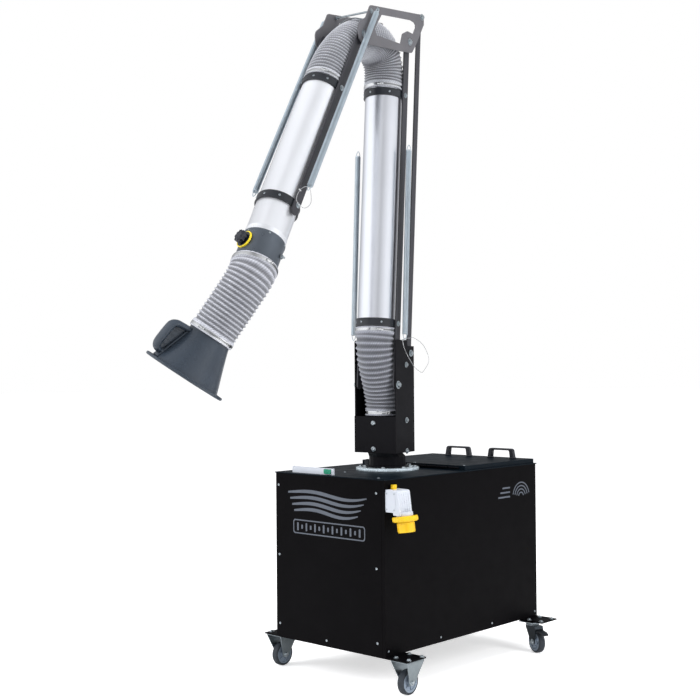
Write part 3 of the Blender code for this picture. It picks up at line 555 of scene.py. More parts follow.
for material, edge, segments, names in (
        (BLACK, 0.0012, 2, "left_side_panel right_side_panel front_panel rear_panel"),
        # the top panel and lid get the black coat with a painted sky reflection
        (TOP_BLACK_PAINTED_REFLECTION, 0.0018, 3, "top_panel"),
        (TOP_BLACK_PAINTED_REFLECTION, 0.0022, 3, "lid_panel"),
        (BLACK, 0.001, 2, "base_pan"),
        (BLACK, 0.0015, 2, "front_cross_member rear_cross_member"),
        (GALVANISED, 0.0008, 2, "fan_scroll"),
        (GALVANISED, 0.0006, 2, "fan_impeller"),
        (PLASTIC, 0.001, 2, "fan_motor"),
        (WHITE, 0.0012, 3, "control_housing"),
        (FORK_ZINC, 0.0009, 2, "front_left_fork front_right_fork"),
        # the rear forks get painted shade: a darker copy of the zinc plate
        (ZINC_PAINTED_SHADE, 0.0009, 2, "rear_left_fork rear_right_fork"),
        (PLASTIC, 0.0012, 3, "rear_left_brake_pedal rear_right_brake_pedal"),
        (ARM_BLACK, 0.0008, 2, "turret_neck turret_channel left_cheek right_cheek turret_front_plate"),
        (BAR_GREY, 0.0009, 3, "lower_arm_left_bar lower_arm_right_bar link_bar"),
        (BAR_GREY, 0.0009, 3, "upper_arm_left_bar upper_arm_right_bar"),
        (GREY, 0.0009, 3, "elbow_left_plate elbow_right_plate")):
    for name in names.split():
        dress(name, material, edge, segments)

TOP_Z = top_high.z
FRONT_Y = -0.53
SIDE_X = 0.3095
PANEL_SCREW = button_head(0.0056)
FRONT_SCREWS = [(-0.293, 0.7895), (-0.29, 0.4915), (-0.289, 0.1975), (0.2656, 0.788), (0.2655, 0.489),
                (0.2666, 0.194), (-0.0133, 0.163)]
REAR_SCREWS = [(x, z) for x in (-0.29, 0.29) for z in (0.195, 0.49, 0.789)]
fasteners("front_panel_screws", PANEL_SCREW, [((x, FRONT_Y, z), (0, -1, 0)) for x, z in FRONT_SCREWS],
          "cabinet", CABINET)
fasteners("rear_panel_screws", PANEL_SCREW, [((x, -FRONT_Y, z), (0, 1, 0)) for x, z in REAR_SCREWS],
          "cabinet", CABINET)
fasteners("side_panel_screws", button_head(0.005),
          sideways(SIDE_X, [(y, 0.165) for y in (-0.512, -0.18, 0.18, 0.512)]), "cabinet", CABINET)
fasteners("top_panel_screws", button_head(0.0055),
          [((0.249, -0.495, TOP_Z), UP), ((-0.05, -0.372, TOP_Z), UP)], "cabinet", CABINET)
lid_low, lid_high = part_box("lid_panel")
LID_TOP = lid_high.z
fasteners("lid_screws", button_head(0.0052),
          [((x, 0.012, LID_TOP), UP) for x in (-0.262, 0.0175, 0.2921)], "lid", CABINET)

hinge_spot = CABINET.inverted() @ joint_spot("lid_hinge")
knuckle_y = hinge_spot.y - 0.0045
knuckles = Shape()
for step in range(9):
    start = lid_low.x - CABINET.translation.x + 0.03 + step * 0.0595
    ends = [(start + reach, knuckle_y, hinge_spot.z) for reach in (0, 0.056)]
    knuckles.take(tube(ends, 0.0038, 12))
piece("lid_hinge_barrel", knuckles, ARM_BLACK, "lid", CABINET, bevel=0.0004)


def handle_bow():
    """Moulded bow handle: broad feet, a thinner grip and a screw boss in each foot."""
    outline = rounded([(-0.075, 0, 0), (-0.0665, 0.046, 0.013), (0.0665, 0.046, 0.013), (0.075, 0, 0),
                       (0.052, 0, 0), (0.0475, 0.0375, 0.007), (-0.0475, 0.0375, 0.007), (-0.052, 0, 0)], 6)
    made = Shape(prism(outline, -0.01, 0.01, "Y"))
    for side in (-1, 1):
        foot = soft_box((side * 0.0635 - 0.0135, -0.0118), (side * 0.0635 + 0.0135, 0.0118), 0.004)
        made.take(prism(foot, 0.0002, 0.006))
    return made


for side, x in (("left", -0.0805), ("right", 0.1695)):
    piece(f"lid_handle_{side}_bow", handle_bow(), HANDLE, "lid", shifted(CABINET, x, 0.46, LID_TOP),
          replaces=(f"lid_handle_{side}",), bevel=0.003, segments=3)

cap_outline = soft_box((-0.019, -0.0095), (0.019, 0.0095), 0.003)
BUTTON = shifted(CABINET, -0.02, -0.51, TOP_Z + 0.0135)
button = Shape(prism(cap_outline, -0.005, 0.005, "Y"))
for step in range(5):
    x = -0.012 + step * 0.006
    button.take(block((x - 0.0008, -0.0056, -0.0062), (x + 0.0008, -0.0048, 0.0062)))
piece("start_button_cap", button, GREEN, "start_button", BUTTON, replaces=("start_button",), bevel=0.0007,
      segments=3)
bezel_outer = soft_box((-0.0225, -0.0125), (0.0225, 0.0122), 0.004)
bezel_inner = soft_box((-0.02, -0.0103), (0.02, 0.0103), 0.003)
piece("start_button_bezel", prism(bezel_outer, -0.001, 0.0004, "Y", (bezel_inner,)), WHITE, "cabinet", BUTTON,
      bevel=0.0003)
fasteners("control_lid_screws", button_head(0.0034),
          [((x, -0.504, TOP_Z + 0.0258), UP) for x in (-0.222, 0.001)], "cabinet", CABINET)

INK = (-0.0002, 0.0003)


def wave_line(x0, x1, z, rise, width):
    """Flat flowing stripe on the front sheet."""
    upper, lower = [], []
    for step in range(41):
        t = step / 40
        x = x0 + (x1 - x0) * t
        mid = z + rise * sin(2 * pi * t) * (0.4 + 0.6 * t)
        half = width / 2 * (0.25 + 0.75 * sin(pi * min(1.0, 0.06 + t * 0.94)) ** 0.6)
        upper.append((x, mid + half))
        lower.append((x, mid - half))
    return prism(upper[::-1] + lower, *INK, "Y")


graphic = Shape()
for step in range(4):
    graphic.take(wave_line(-0.235 + 0.012 * step, 0.215 - 0.016 * step, 0.762 - 0.025 * step, 0.015, 0.015))
graphic.take(prism(soft_box((-0.205, 0.59), (0.205, 0.65), 0.012, 5), *INK, "Y",
                   (soft_box((-0.2, 0.595), (0.2, 0.645), 0.009, 5),)))
for step in range(15):
    x = -0.182 + 0.0252 * step
    tall = 0.034 if step % 2 == 0 else 0.018
    bar = soft_box((x, 0.62 - tall / 2), (x + 0.0095, 0.62 + tall / 2), 0.003, 3)
    graphic.take(prism(bar, *INK, "Y"))
piece("front_airflow_print", graphic, MARK, "cabinet", shifted(CABINET, 0, FRONT_Y, 0))

arcs = Shape()
for radius in (0.016, 0.031, 0.046, 0.061):
    outer, inner = [], []
    for k in range(33):
        angle = radians(12 + 156 * k / 32)
        outer.append((0.412 + (radius + 0.0055) * cos(angle), 0.7 + (radius + 0.0055) * sin(angle)))
        inner.append((0.412 + radius * cos(angle), 0.7 + radius * sin(angle)))
    arcs.take(prism(outer + inner[::-1], *INK, "X"))
for step in range(3):
    z = 0.703 + 0.02 * step
    arcs.take(prism(soft_box((0.236 + 0.016 * step, z), (0.326, z + 0.007), 0.002, 3), *INK, "X"))
piece("side_arc_print", arcs, MARK, "cabinet", shifted(CABINET, SIDE_X, 0, 0))


# ---------------------------------------------------------------- mains inlet

low, high = Vector((0.3098, -0.525, 0.716)), Vector((0.3708, -0.449, 0.807))
outline = rounded([(low.x, low.z, 0.002), (0.349, low.z, 0.003), (0.35, 0.706, 0.002), (0.385, 0.7035, 0.004),
                   (0.3715, high.z - 0.004, 0.008), (low.x, high.z - 0.002, 0.003)], 5)
wall_box = Shape(prism(outline, low.y, high.y, "Y"))
wall_box.take(prism(rounded([(low.x, 0.722, 0.001), (0.3645, 0.722, 0.006), (0.359, 0.796, 0.006),
                             (low.x, 0.796, 0.001)], 4), low.y - 0.0012, high.y + 0.0012, "Y"))
for step in range(5):
    y = low.y + 0.01 + step * 0.013
    rib = prism([(0.37, 0.712), (0.3855, 0.712), (0.374, 0.795), (0.36, 0.795)], y, y + 0.0045, "Y")
    wall_box.take(rib)
socket = rounded([(0.026, 0.012, 0), (0.0325, 0.012, 0.001), (0.0335, -0.004, 0.001), (0.026, -0.004, 0)], 2)
wall_box.take(revolve(socket, 72), CABINET.inverted() @ INLET)
piece("inlet_wall_box", wall_box, WHITE, "cabinet", CABINET, replaces=("inlet_housing",), bevel=0.001,
      segments=3)
tab = Shape(prism(soft_box((-0.008, -0.011), (0.008, 0.011), 0.003), -0.004, 0.0175))
tab.take(tube([(0.0, -0.0125, 0.006), (0.0, 0.0125, 0.006)], 0.005, 16))
for step in range(3):
    tab.take(block((-0.009, -0.009, 0.0085 + 0.003 * step), (-0.007, 0.009, 0.0097 + 0.003 * step)))
piece("inlet_lid_tab", tab, YELLOW, "cabinet", shifted(CABINET, low.x + 0.016, -0.492, high.z - 0.002),
      bevel=0.001, segments=3)
fasteners("inlet_box_screws", button_head(0.0032),
          [((x, low.y - 0.0012, z), (0, -1, 0)) for x in (low.x + 0.008, 0.3555) for z in (0.7275, 0.79)],
          "cabinet", CABINET)


def knurl(count, depth):
    return lambda angle: 1.0 + depth * max(-0.6, min(0.6, 1.6 * sin(count * angle)))


ring_profile = rounded([(0.034, -0.0045, 0.0008), (0.0495, -0.0045, 0.003), (0.051, -0.01, 0.002),
                        (0.051, -0.0215, 0.003), (0.045, -0.026, 0.002), (0.034, -0.026, 0.0008)], 3)
piece("inlet_locking_ring", revolve(ring_profile, 192, lobes=knurl(24, 0.018)), YELLOW, "cabinet", INLET,
      replaces=("inlet_ring",))
shroud_profile = rounded([(0.0285, -0.0025, 0), (0.033, -0.0025, 0.001), (0.033, -0.066, 0.002),
                          (0.0335, -0.068, 0.001), (0.0285, -0.068, 0.001)], 2)
shroud = Shape(revolve(shroud_profile, 72))
shroud.take(revolve([(0, -0.04), (0.029, -0.04), (0.029, -0.034), (0, -0.034)], 48))
shroud.take(soft_ring(0.0325, 0.0352, -0.034, -0.029, 0.001))
for step in range(4):
    shroud.take(block((0.032, -0.002, -0.064), (0.035, 0.002, -0.034)), spun(45 + 90 * step))
piece("inlet_pin_shroud", shroud, YELLOW, "cabinet", INLET, replaces=("inlet_shroud",), bevel=0.0006)
pins = Shape()
pin_profile = [(0, -0.062), (0.0016, -0.062), (0.0025, -0.06), (0.0025, -0.04), (0, -0.04)]
for spot, _ in radial(0.014, (90, 210, 330)):
    pins.take(revolve(pin_profile, 20), Matrix.Translation(spot))
piece("inlet_contact_pins", pins, COPPER, "cabinet", INLET)


# ---------------------------------------------------------------- castors

def wheel_parts():
    """Tread, disc and hub of a wheel on the X axis."""
    turn = spun(90, "Y")
    tread_profile = rounded([(0.0395, -0.014, 0.001), (0.044, -0.015, 0.002), (0.0496, -0.0125, 0.006),
                             (0.0499, 0.0, 0.03), (0.0496, 0.0125, 0.006), (0.044, 0.015, 0.002),
                             (0.0395, 0.014, 0.001)], 5)
    tread = Shape(revolve(tread_profile, 96), turn)
    disc_profile = [(0.007, -0.0165), (0.013, -0.0165), (0.0142, -0.015), (0.015, -0.0105), (0.0325, -0.0095),
                    (0.0345, -0.0135), (0.04, -0.0148), (0.04, 0.0148), (0.0345, 0.0135), (0.0325, 0.0095),
                    (0.015, 0.0085), (0.0142, 0.015), (0.013, 0.0165), (0.007, 0.0165)]
    disc = Shape(revolve(disc_profile, 72), turn)
    web = block((0.014, -0.0012, -0.013), (0.035, 0.0012, 0.013))
    for step in range(6):
        disc.take(web, turn @ spun(60 * step + 12))
    return tread, disc


tread, disc = wheel_parts()
for name in ("front_left_wheel", "front_right_wheel", "rear_left_wheel", "rear_right_wheel"):
    spin = JOINTS[f"{name}_spin"]
    place = axes(spin["pos_m"], spin["axis"], UP)
    piece(f"{name}_tread", tread, TREAD, name, place, replaces=(name,))
    piece(f"{name}_disc", disc, DISC, name, place, bevel=0.0004)
    end = name.removesuffix("_wheel")
    owner = "cabinet" if name.startswith("front") else f"{end}_fork"
    fasteners(f"{end}_axle_nuts", hex_bolt(0.0085, 0.55), sideways(0.0235, [(0, 0)]), owner, place)

PLATE_TOP = 0.138
for end in ("left", "right"):
    swivel = joint_spot(f"rear_{end}_swivel")
    place = Matrix.Translation((swivel.x, swivel.y, 0))
    head = Shape(soft_ring(0.01, 0.03, 0.119, 0.1235, 0.0015, 56))
    head.take(soft_ring(0.01, 0.0275, 0.1235, 0.129, 0.002, 56))
    head.take(soft_ring(0.01, 0.031, 0.129, 0.1335, 0.0018, 56))
    piece(f"rear_{end}_swivel_race", head, ZINC, f"rear_{end}_fork", place)
    plate = prism(soft_box((-0.042, -0.052), (0.042, 0.052), 0.006), PLATE_TOP - 0.0032, PLATE_TOP - 0.0004)
    piece(f"rear_{end}_castor_plate", plate, ZINC, "cabinet", place, bevel=0.0005)

bolt_spots = []
for x, y in ((-0.3365, -0.473), (0.3735, -0.473)):
    bolt_spots += [(x + a, y + b) for a in (-0.034, 0.032) for b in (-0.03, 0.05)]
for x in (-0.365, 0.371):
    bolt_spots += [(x + a, y) for y in (0.4225, 0.506) for a in (-0.0315, 0.0315)]
outside = [((x, y, 0.1435), UP) for x, y in bolt_spots if abs(x) > 0.318]
fasteners("castor_bolts", hex_bolt(0.0075), outside, "cabinet", CABINET)


# ---------------------------------------------------------------- turret

flange_profile = rounded([(0.078, 0.8444, 0), (0.137, 0.8444, 0.001), (0.137, 0.856, 0.0035),
                          (0.086, 0.856, 0.002), (0.0825, 0.862, 0.001), (0.078, 0.862, 0)], 3)
piece("base_flange_disc", revolve(flange_profile, 128), FLANGE_STEEL, "cabinet", TURRET,
      replaces=("base_flange",))
fasteners("flange_bolts", hex_bolt(0.0078),
          [(spot, UP) for spot, _ in radial(0.118, [22.5 + 45 * k for k in range(8)], 0.8562)], "cabinet",
          TURRET)
lock = Shape(prism(soft_box((-0.01, -0.0085), (0.01, 0.0085), 0.002, 3), 0.857, 0.878))
lock.take(revolve(rounded([(0, 0.878, 0), (0.0075, 0.878, 0), (0.0075, 0.884, 0.002), (0, 0.884, 0)], 2), 24))
piece("swivel_lock", lock, PLASTIC, "cabinet", shifted(TURRET, -0.116, 0.02, 0), bevel=0.0008)

CHEEK_X = 0.1042
fasteners("cheek_bolts", hex_bolt(0.0082),
          sideways(CHEEK_X, [(-0.0086, 1.061), (-0.0083, 0.928), (-0.0086, 1.3)], (1, -1)), "turret", TURRET)
fasteners("turret_front_bolts", button_head(0.0115),
          [((-0.008, -0.1018, z), (0, -1, 0)) for z in (1.05, 0.939)], "turret", TURRET)
fasteners("main_pivot_bolts", hex_bolt(0.0115, 0.75), sideways(CHEEK_X, [(-0.078, 1.214)]), "turret", TURRET)


# ---------------------------------------------------------------- ducts, hoses and clamps

def hose_curve(start, leave, end, arrive, handles, straight, steps=240):
    """Hose's middle line: a straight length at each end and a cubic curve between them."""
    leave, arrive = leave.normalized(), arrive.normalized()
    a, d = start + leave * straight, end - arrive * straight
    b, c = a + leave * handles[0], d - arrive * handles[1]
    path = [start + leave * straight * k / 12 for k in range(12)]
    for step in range(steps + 1):
        t = step / steps
        path.append(a * (1 - t) ** 3 + b * 3 * t * (1 - t) ** 2 + c * 3 * t * t * (1 - t) + d * t ** 3)
    path += [d + arrive * straight * k / 12 for k in range(1, 13)]
    return path


def even(path, step):
    """The path's points again, evenly spaced."""
    points = np.array([tuple(point) for point in path])
    lengths = np.concatenate([[0], np.cumsum(np.linalg.norm(np.diff(points, axis=0), axis=1))])
    count = max(2, int(round(lengths[-1] / step)) + 1)
    at = np.linspace(0, lengths[-1], count)
    made = [Vector(tuple(np.interp(value, lengths, points[:, axis]) for axis in range(3))) for value in at]
    return made, at


def ribbed_hose(path, sizes, ribs, depth, cuffs, wrinkle, first, last, sides=72, wall=0.0025):
    """Helically ribbed cloth hose; first and last choose the part of its length that is made.

    sizes are its outer radii at both ends and cuffs the plain lengths there.
    """
    points, at = even(path, 0.0022)
    total = at[-1]
    across = ACROSS
    chosen = []
    for index, point in enumerate(points):
        along = (points[min(index + 1, len(points) - 1)] - points[max(index - 1, 0)]).normalized()
        across = (across - along * across.dot(along)).normalized()
        share = at[index] / total
        if first - 1e-6 <= share <= last + 1e-6:
            chosen.append((point, across, along.cross(across), share))
    made = Shape()
    rings = []
    for inset in (0.0, wall):
        for point, across, up, share in chosen:
            s = share * total
            body = min(1.0, max(0.0, (s - cuffs[0]) / 0.01), max(0.0, (total - cuffs[1] - s) / 0.01))
            base = sizes[0] + (sizes[1] - sizes[0]) * share
            rings.append((list(range(len(made.verts), len(made.verts) + sides)), s))
            for k in range(sides):
                angle = 2 * pi * k / sides
                turns = (s - cuffs[0]) / (total - cuffs[0] - cuffs[1]) * ribs + k / sides
                between = turns % 1.0
                sag = (max(0.0, 4 * between * (1 - between) - 0.22) / 0.78) ** 0.75 * body
                pucker = noise.noise(Vector((cos(angle) * 5, sin(angle) * 5, s * 70))) * wrinkle
                size = base - depth * sag + pucker * sag - inset
                # rib depth kept per vertex: the cloth turns it into painted shade in the valleys and a painted
                # highlight on the ridges
                made.painted_rib_shades.append(sag)
                made.verts.append(tuple(point + across * size * cos(angle) + up * size * sin(angle)))
    girth = 2 * pi * sizes[0]
    half = len(chosen)

    def band(lower, upper, s0, s1):
        made.faces.extend(ring_faces(lower, upper))
        for k in range(sides):
            u0, u1 = girth * k / sides, girth * (k + 1) / sides
            made.uvs += [(u0, s0), (u1, s0), (u1, s1), (u0, s1)]

    for index in range(half - 1):
        band(rings[index][0], rings[index + 1][0], rings[index][1], rings[index + 1][1])
        band(rings[half + index + 1][0], rings[half + index][0], rings[index + 1][1], rings[index][1])
    for (lower, s), (upper, _) in ((rings[half], rings[0]), (rings[half - 1], rings[-1])):
        band(lower, upper, s, s + wall)
    return made


def hose(replaced, material, path, sizes, ribs, depth, cuffs, wrinkle, parts):
    """Soft pieces of one hose. A part is (name, body, next body, first and last share, two bend points)."""
    for name, body, following, first, last, bend_start, bend_end in parts:
        part = ribbed_hose(path, sizes, ribs, depth, cuffs, wrinkle, first, last)
        piece(name, part, material, body, replaces=(replaced,) if first == 0 else (),
              smooth=180, blend=(following, path[bend_start], path[bend_end]))


def split_band(radius, height, gap_turn, ears):
    """Black split band with rolled lips and a clamping block across its gap."""
    made = Shape(revolve(rounded([
        (radius - 0.0068, -height / 2, 0.0004), (radius - 0.0015, -height / 2, 0.001),
        (radius, -height / 2 + 0.003, 0.001),
        (radius - 0.0012, -height / 2 + 0.007, 0.001), (radius - 0.0012, height / 2 - 0.007, 0.001),
        (radius, height / 2 - 0.003, 0.001), (radius - 0.0015, height / 2, 0.001),
        (radius - 0.0068, height / 2, 0.0004)], 2), 128))
    for low, high in ears:
        made.take(block(low, high))
    lug = block((radius - 0.003, -0.012, -height / 2 + 0.003), (radius + 0.01, -0.003, height / 2 - 0.003))
    other = block((radius - 0.003, 0.003, -height / 2 + 0.003), (radius + 0.01, 0.012, height / 2 - 0.003))
    turn = spun(gap_turn)
    made.take(lug, turn).take(other, turn)
    return made


def clamp(name, place, radius, body, screw_turn=-60.0, width=0.0125):
    """Steel band with its worm housing and hexagon screw, and black marks along it for its perforations: painted
    shade in the slots.
    """
    band = Shape(soft_ring(radius - 0.0004, radius + 0.0006, -width / 2, width / 2, 0.0002, 128))
    # black marks for the band's slots: painted shade where the slots are
    painted_slot_shades = Shape()
    for step in range(60):
        slot = block((radius + 0.0004, -0.0011, -width * 0.28), (radius + 0.0008, 0.0011, width * 0.28))
        painted_slot_shades.take(slot, spun(screw_turn + 12 + step * 2.6))
    turn = spun(screw_turn)
    lay = turn @ Matrix.Translation((radius + 0.005, 0, 0)) @ spun(-90, "X")
    housing = rounded([(0, -0.009, 0), (0.0052, -0.009, 0.0008), (0.0052, 0.009, 0.0008), (0, 0.009, 0)], 2)
    head = [(0, 0.009), (0.003, 0.009), (0.003, 0.012), (0.0055, 0.0122), (0.0055, 0.017), (0.0045, 0.0178),
            (0, 0.0178)]
    band.take(revolve(housing, 24), lay).take(revolve(head, 6), lay)
    band.take(block((radius, -0.01, -width / 2), (radius + 0.0022, 0.01, width / 2)), turn)
    piece(name, band, STEEL, body, place)
    piece(f"{name}_slots", painted_slot_shades, PLASTIC, body, place)


def duct(radius, low, high, wall=0.0015):
    """Thin round duct with a rolled bead near each end."""
    outline = [(radius - wall, low), (radius, low)]
    for mid in (low + 0.02, high - 0.02):
        outline += [(radius, mid - 0.005), (radius + 0.001, mid - 0.0025), (radius + 0.001, mid + 0.0025),
                    (radius, mid + 0.005)]
    outline += [(radius, high), (radius - wall, high)]
    return revolve(outline, 160)


LOWER_DUCT = shifted(LOWER, 0, -0.029, 0)
piece("lower_duct", duct(0.08, 0.212, 1.315), ALUMINIUM, "lower_arm", LOWER_DUCT,
      replaces=("lower_arm_tube",))
piece("upper_duct", duct(0.08, -1.042, -0.242), BRIGHT_TUBE, "upper_arm", UPPER, replaces=("upper_arm_tube",))

for name, frame_of, body, mid, ear_y, rivets in (
        ("lower_arm_bottom_collar", LOWER_DUCT, "lower_arm", 0.263, 0.017, (-105.0, -42.5, 20, 160, 222.5)),
        ("lower_arm_top_collar", LOWER_DUCT, "lower_arm", 1.264, 0.017, (-100.0, -41.0, 20, 160, 221)),
        ("upper_arm_bottom_collar", UPPER, "upper_arm", -0.884, -0.01, (-93.0, -51.0, 1.0, 179, 231)),
        ("upper_arm_top_collar", UPPER, "upper_arm", -0.293, -0.01, (-82.0, -43.0, 2.0, 178, 223))):
    place = shifted(frame_of, 0, 0, mid)
    ears = []
    for side in (-1, 1):
        xs = sorted((side * 0.082, side * 0.0882))
        ears.append(((xs[0], ear_y, -0.015), (xs[1], ear_y + 0.024, 0.015)))
    piece(f"{name}_band", split_band(0.0875, 0.034, 90.0, ears), PLASTIC, body, place, replaces=(name,),
          bevel=0.0005)
    fasteners(f"{name}_rivets", button_head(0.0048), radial(0.0862, rivets), body, place)
fasteners("band_clamp_bolts", hex_bolt(0.006), [((0.012, 0.093, z), (1, 0, 0)) for z in (0.263, 1.264)],
          "lower_arm", LOWER_DUCT)
fasteners("upper_band_clamp_bolts", hex_bolt(0.006), [((0.012, 0.093, z), (1, 0, 0)) for z in (-0.293,
                                                                                               -0.884)],
          "upper_arm", UPPER)

LOWER_WAY = LOWER.to_3x3().col[2]
UPPER_WAY = UPPER.to_3x3().col[2]
HOOD_WAY = HOOD.to_3x3().col[2]
STRAIGHT = 0.034

turret_path = hose_curve(TURRET @ Vector((0, -0.02, 1.082)), UP, LOWER @ Vector((0, -0.029, 0.242)),
                         LOWER_WAY, (0.11, 0.11), STRAIGHT)
elbow_path = hose_curve(LOWER @ Vector((0, -0.029, 1.285)), LOWER_WAY, UPPER @ Vector((0, 0, -0.272)),
                        -UPPER_WAY, (0.25, 0.33), STRAIGHT)
hood_path = hose_curve(UPPER @ Vector((0, 0, -1.153)), -UPPER_WAY, HOOD @ Vector((0, 0, -0.27)), -HOOD_WAY,
                       (0.045, 0.12), 0.028)
# the turret and elbow hoses use the darker cloth copies, which are painted shade
hose("turret_hose", TURRET_CLOTH_PAINTED_SHADE, turret_path, (0.0845, 0.0885), 16, 0.0075, (0.02, 0.024), 0.0012,
     [("turret_hose_cloth_painted_shade", "turret", "lower_arm", 0.0, 1.0, 30, -30)])
hose("elbow_hose", ELBOW_CLOTH_PAINTED_SHADE, elbow_path, (0.087, 0.087), 44, 0.0062, (0.024, 0.024), 0.0015,
     [("elbow_hose_rise", "lower_arm", "elbow", 0.0, 0.5, 14, 110),
      ("elbow_hose_fall", "elbow", "upper_arm", 0.5, 1.0, -110, -14)])
hose("hood_hose", CLOTH, hood_path, (0.0895, 0.089), 17, 0.007, (0.018, 0.022), 0.0015,
     [("hood_hose_upper", "upper_arm", "hood_ring", 0.0, 0.5, 16, 120),
      ("hood_hose_lower", "hood_ring", "hood", 0.5, 1.0, -120, -16)])

clamp("turret_hose_clamp", shifted(TURRET, 0, -0.02, 1.095), 0.0842, "turret")
clamp("lower_hose_clamp", shifted(LOWER_DUCT, 0, 0, 0.231), 0.0886, "lower_arm", -50)
clamp("elbow_hose_clamp_lower", shifted(LOWER_DUCT, 0, 0, 1.296), 0.0872, "lower_arm", -70)
clamp("elbow_hose_clamp_upper", shifted(UPPER, 0, 0, -0.261), 0.0872, "upper_arm", -60)
clamp("damper_hose_clamp", shifted(UPPER, 0, 0, -1.164), 0.09, "upper_arm", -20, 0.015)
clamp("hood_hose_clamp", shifted(HOOD, 0, 0, -0.259), 0.089, "hood", -75)


# ---------------------------------------------------------------- bars, link, elbow plates and springs

PLATE_X = 0.1082
BAR_X = 0.0946
fasteners("lower_bar_bolts", hex_bolt(0.0078), sideways(BAR_X, [(0, 0.263), (0, 1.264)]), "lower_arm", LOWER)
fasteners("upper_bar_bolts", hex_bolt(0.0078), sideways(BAR_X, [(0.004, -0.293), (0.004, -0.884)]), "upper_arm",
          UPPER)
upper_pivot = ELBOW.inverted() @ joint_spot("upper_arm_tilt")
fasteners("elbow_pivot_bolts", hex_bolt(0.0105, 0.7),
          sideways(PLATE_X, [(0, 0)]) + sideways(PLATE_X, [(upper_pivot.y, upper_pivot.z)]), "elbow", ELBOW)
fasteners("link_top_bolt", hex_bolt(0.01), [((PLATE_X, 0.11, 0.136), (1, 0, 0))], "elbow", ELBOW)
link_foot = TURRET.inverted() @ joint_spot("link_tilt")
fasteners("link_foot_bolt", hex_bolt(0.01), [((CHEEK_X, link_foot.y, link_foot.z), (1, 0, 0))], "turret",
          TURRET)
STRAP_SPOT, ROD_SPOT = (-0.318, 0.056), (-0.267, 0.0735)
fasteners("elbow_plate_bolts", hex_bolt(0.007), sideways(PLATE_X, [STRAP_SPOT, ROD_SPOT]), "elbow", ELBOW)
rod = Shape(tube([(-0.1055, *ROD_SPOT), (0.1055, *ROD_SPOT)], 0.0042, 20))
for side in (-1, 1):
    rod.take(tube([(side * 0.1, *ROD_SPOT), (side * 0.095, *ROD_SPOT)], 0.0072, 20))
piece("elbow_tie_rod", rod, ZINC, "elbow", ELBOW, smooth=40)


SPRING_RADIUS, SPRING_WIRE, SPRING_X, HOOK_REACH = 0.0108, 0.0017, 0.13, 0.012


def coil_spring(start, end, turns):
    """Tension spring along a line: close coils and a hook turned outward at each end."""
    start, end = Vector(start), Vector(end)
    way = (end - start).normalized()
    side = Vector((1, 0, 0))
    side = (side - way * side.dot(way)).normalized()
    up = way.cross(side)
    length = (end - start).length
    points = []
    for step in range(turns * 10 + 1):
        share = step / (turns * 10)
        angle = 2 * pi * step / 10
        across = (side * cos(angle) + up * sin(angle)) * SPRING_RADIUS
        points.append(start + way * (HOOK_REACH + (length - 2 * HOOK_REACH) * share) + across)
    made = Shape(tube(points, SPRING_WIRE, 6))
    for spot, sign in ((start, -1), (end, 1)):
        loop = []
        for k in range(11):
            a = pi * k / 10
            outward = side * SPRING_RADIUS * cos(a) * 0.9
            loop.append(spot + way * sign * (-HOOK_REACH + 0.016 * sin(a) ** 2) + outward
                        + way * sign * SPRING_RADIUS * 0.6 * sin(a))
        made.take(tube(loop, SPRING_WIRE, 8))
    return made


for side, sign in (("left", -1), ("right", 1)):
    x = sign * SPRING_X
    for arm, place, start, end, turns in (("lower", LOWER, (x, 0.0, 0.205), (x, -0.017, 1.025), 200),
                                          ("upper", UPPER, (x, 0.004, 0.128), (x, -0.01, -0.817), 230)):
        piece(f"{arm}_{side}_spring_coil", coil_spring(start, end, turns), SPRING, f"{arm}_arm", place,
              replaces=(f"{arm}_arm_{side}_spring",))


def wire_loop(name, frame_of, points, across_at, body):
    ring = [(across_at + 0.004 * sin(2.0 * index), y, z) for index, (y, z) in enumerate(points)]
    made = Shape(tube(smooth_path(ring, 8, closed=True), 0.0011, 8, closed=True))
    start = Vector(ring[0])
    made.take(tube([start + Vector((0, -0.006, 0)), start + Vector((0, 0.006, 0.001))], 0.0026, 12))
    piece(name, made, STEEL, body, frame_of)


wire_loop("lower_safety_loop", TURRET, [(-0.079, 1.405), (-0.03, 1.414), (0.024, 1.415), (0.103, 1.382),
                                        (0.138, 1.32), (0.101, 1.272), (0.074, 1.268), (0.005, 1.294),
                                        (-0.054, 1.354)], 0.13, "lower_arm")
wire_loop("upper_safety_loop", UPPER, [(-0.053, -0.86), (-0.03, -0.825), (0.004, -0.815), (0.029, -0.857),
                                       (-0.003, -0.906), (-0.049, -0.904)], 0.13, "upper_arm")
wire_loop("far_safety_loop", ELBOW, [(-0.354, -0.012), (-0.309, -0.001), (-0.333, -0.07), (-0.362, -0.048)],
          -0.12, "elbow")

anchor = ELBOW @ Vector((0, *STRAP_SPOT))
nearest = min(range(len(elbow_path)), key=lambda index: (elbow_path[index] - anchor).length)
core = elbow_path[nearest]
along = (elbow_path[nearest + 1] - elbow_path[nearest - 1]).normalized()
outward = along.cross(ACROSS).normalized()
if outward.dot(anchor - core) < 0:
    outward = -outward
strap_path = [core - ACROSS * 0.1036 + outward * 0.03]
for step in range(25):
    angle = radians(-72 + 6 * step)
    strap_path.append(core + outward * 0.0935 * cos(angle) + ACROSS * 0.0975 * sin(angle))
strap_path.append(core + ACROSS * 0.1036 + outward * 0.03)
strap = Shape()
half, thin = along * 0.0085, 0.0009
for index, point in enumerate(strap_path):
    out = (point - core).normalized()
    strap.verts += [tuple(point - half), tuple(point + half), tuple(point + half + out * thin),
                    tuple(point - half + out * thin)]
    if index:
        a, b = 4 * index - 4, 4 * index
        strap.faces += [[a + k, a + (k + 1) % 4, b + (k + 1) % 4, b + k] for k in range(4)]
strap.faces += [[3, 2, 1, 0], [4 * len(strap_path) - 4 + k for k in range(4)]]
piece("elbow_hose_strap", strap, ZINC, "elbow", bevel=0.0003)


# ---------------------------------------------------------------- damper and hood joint

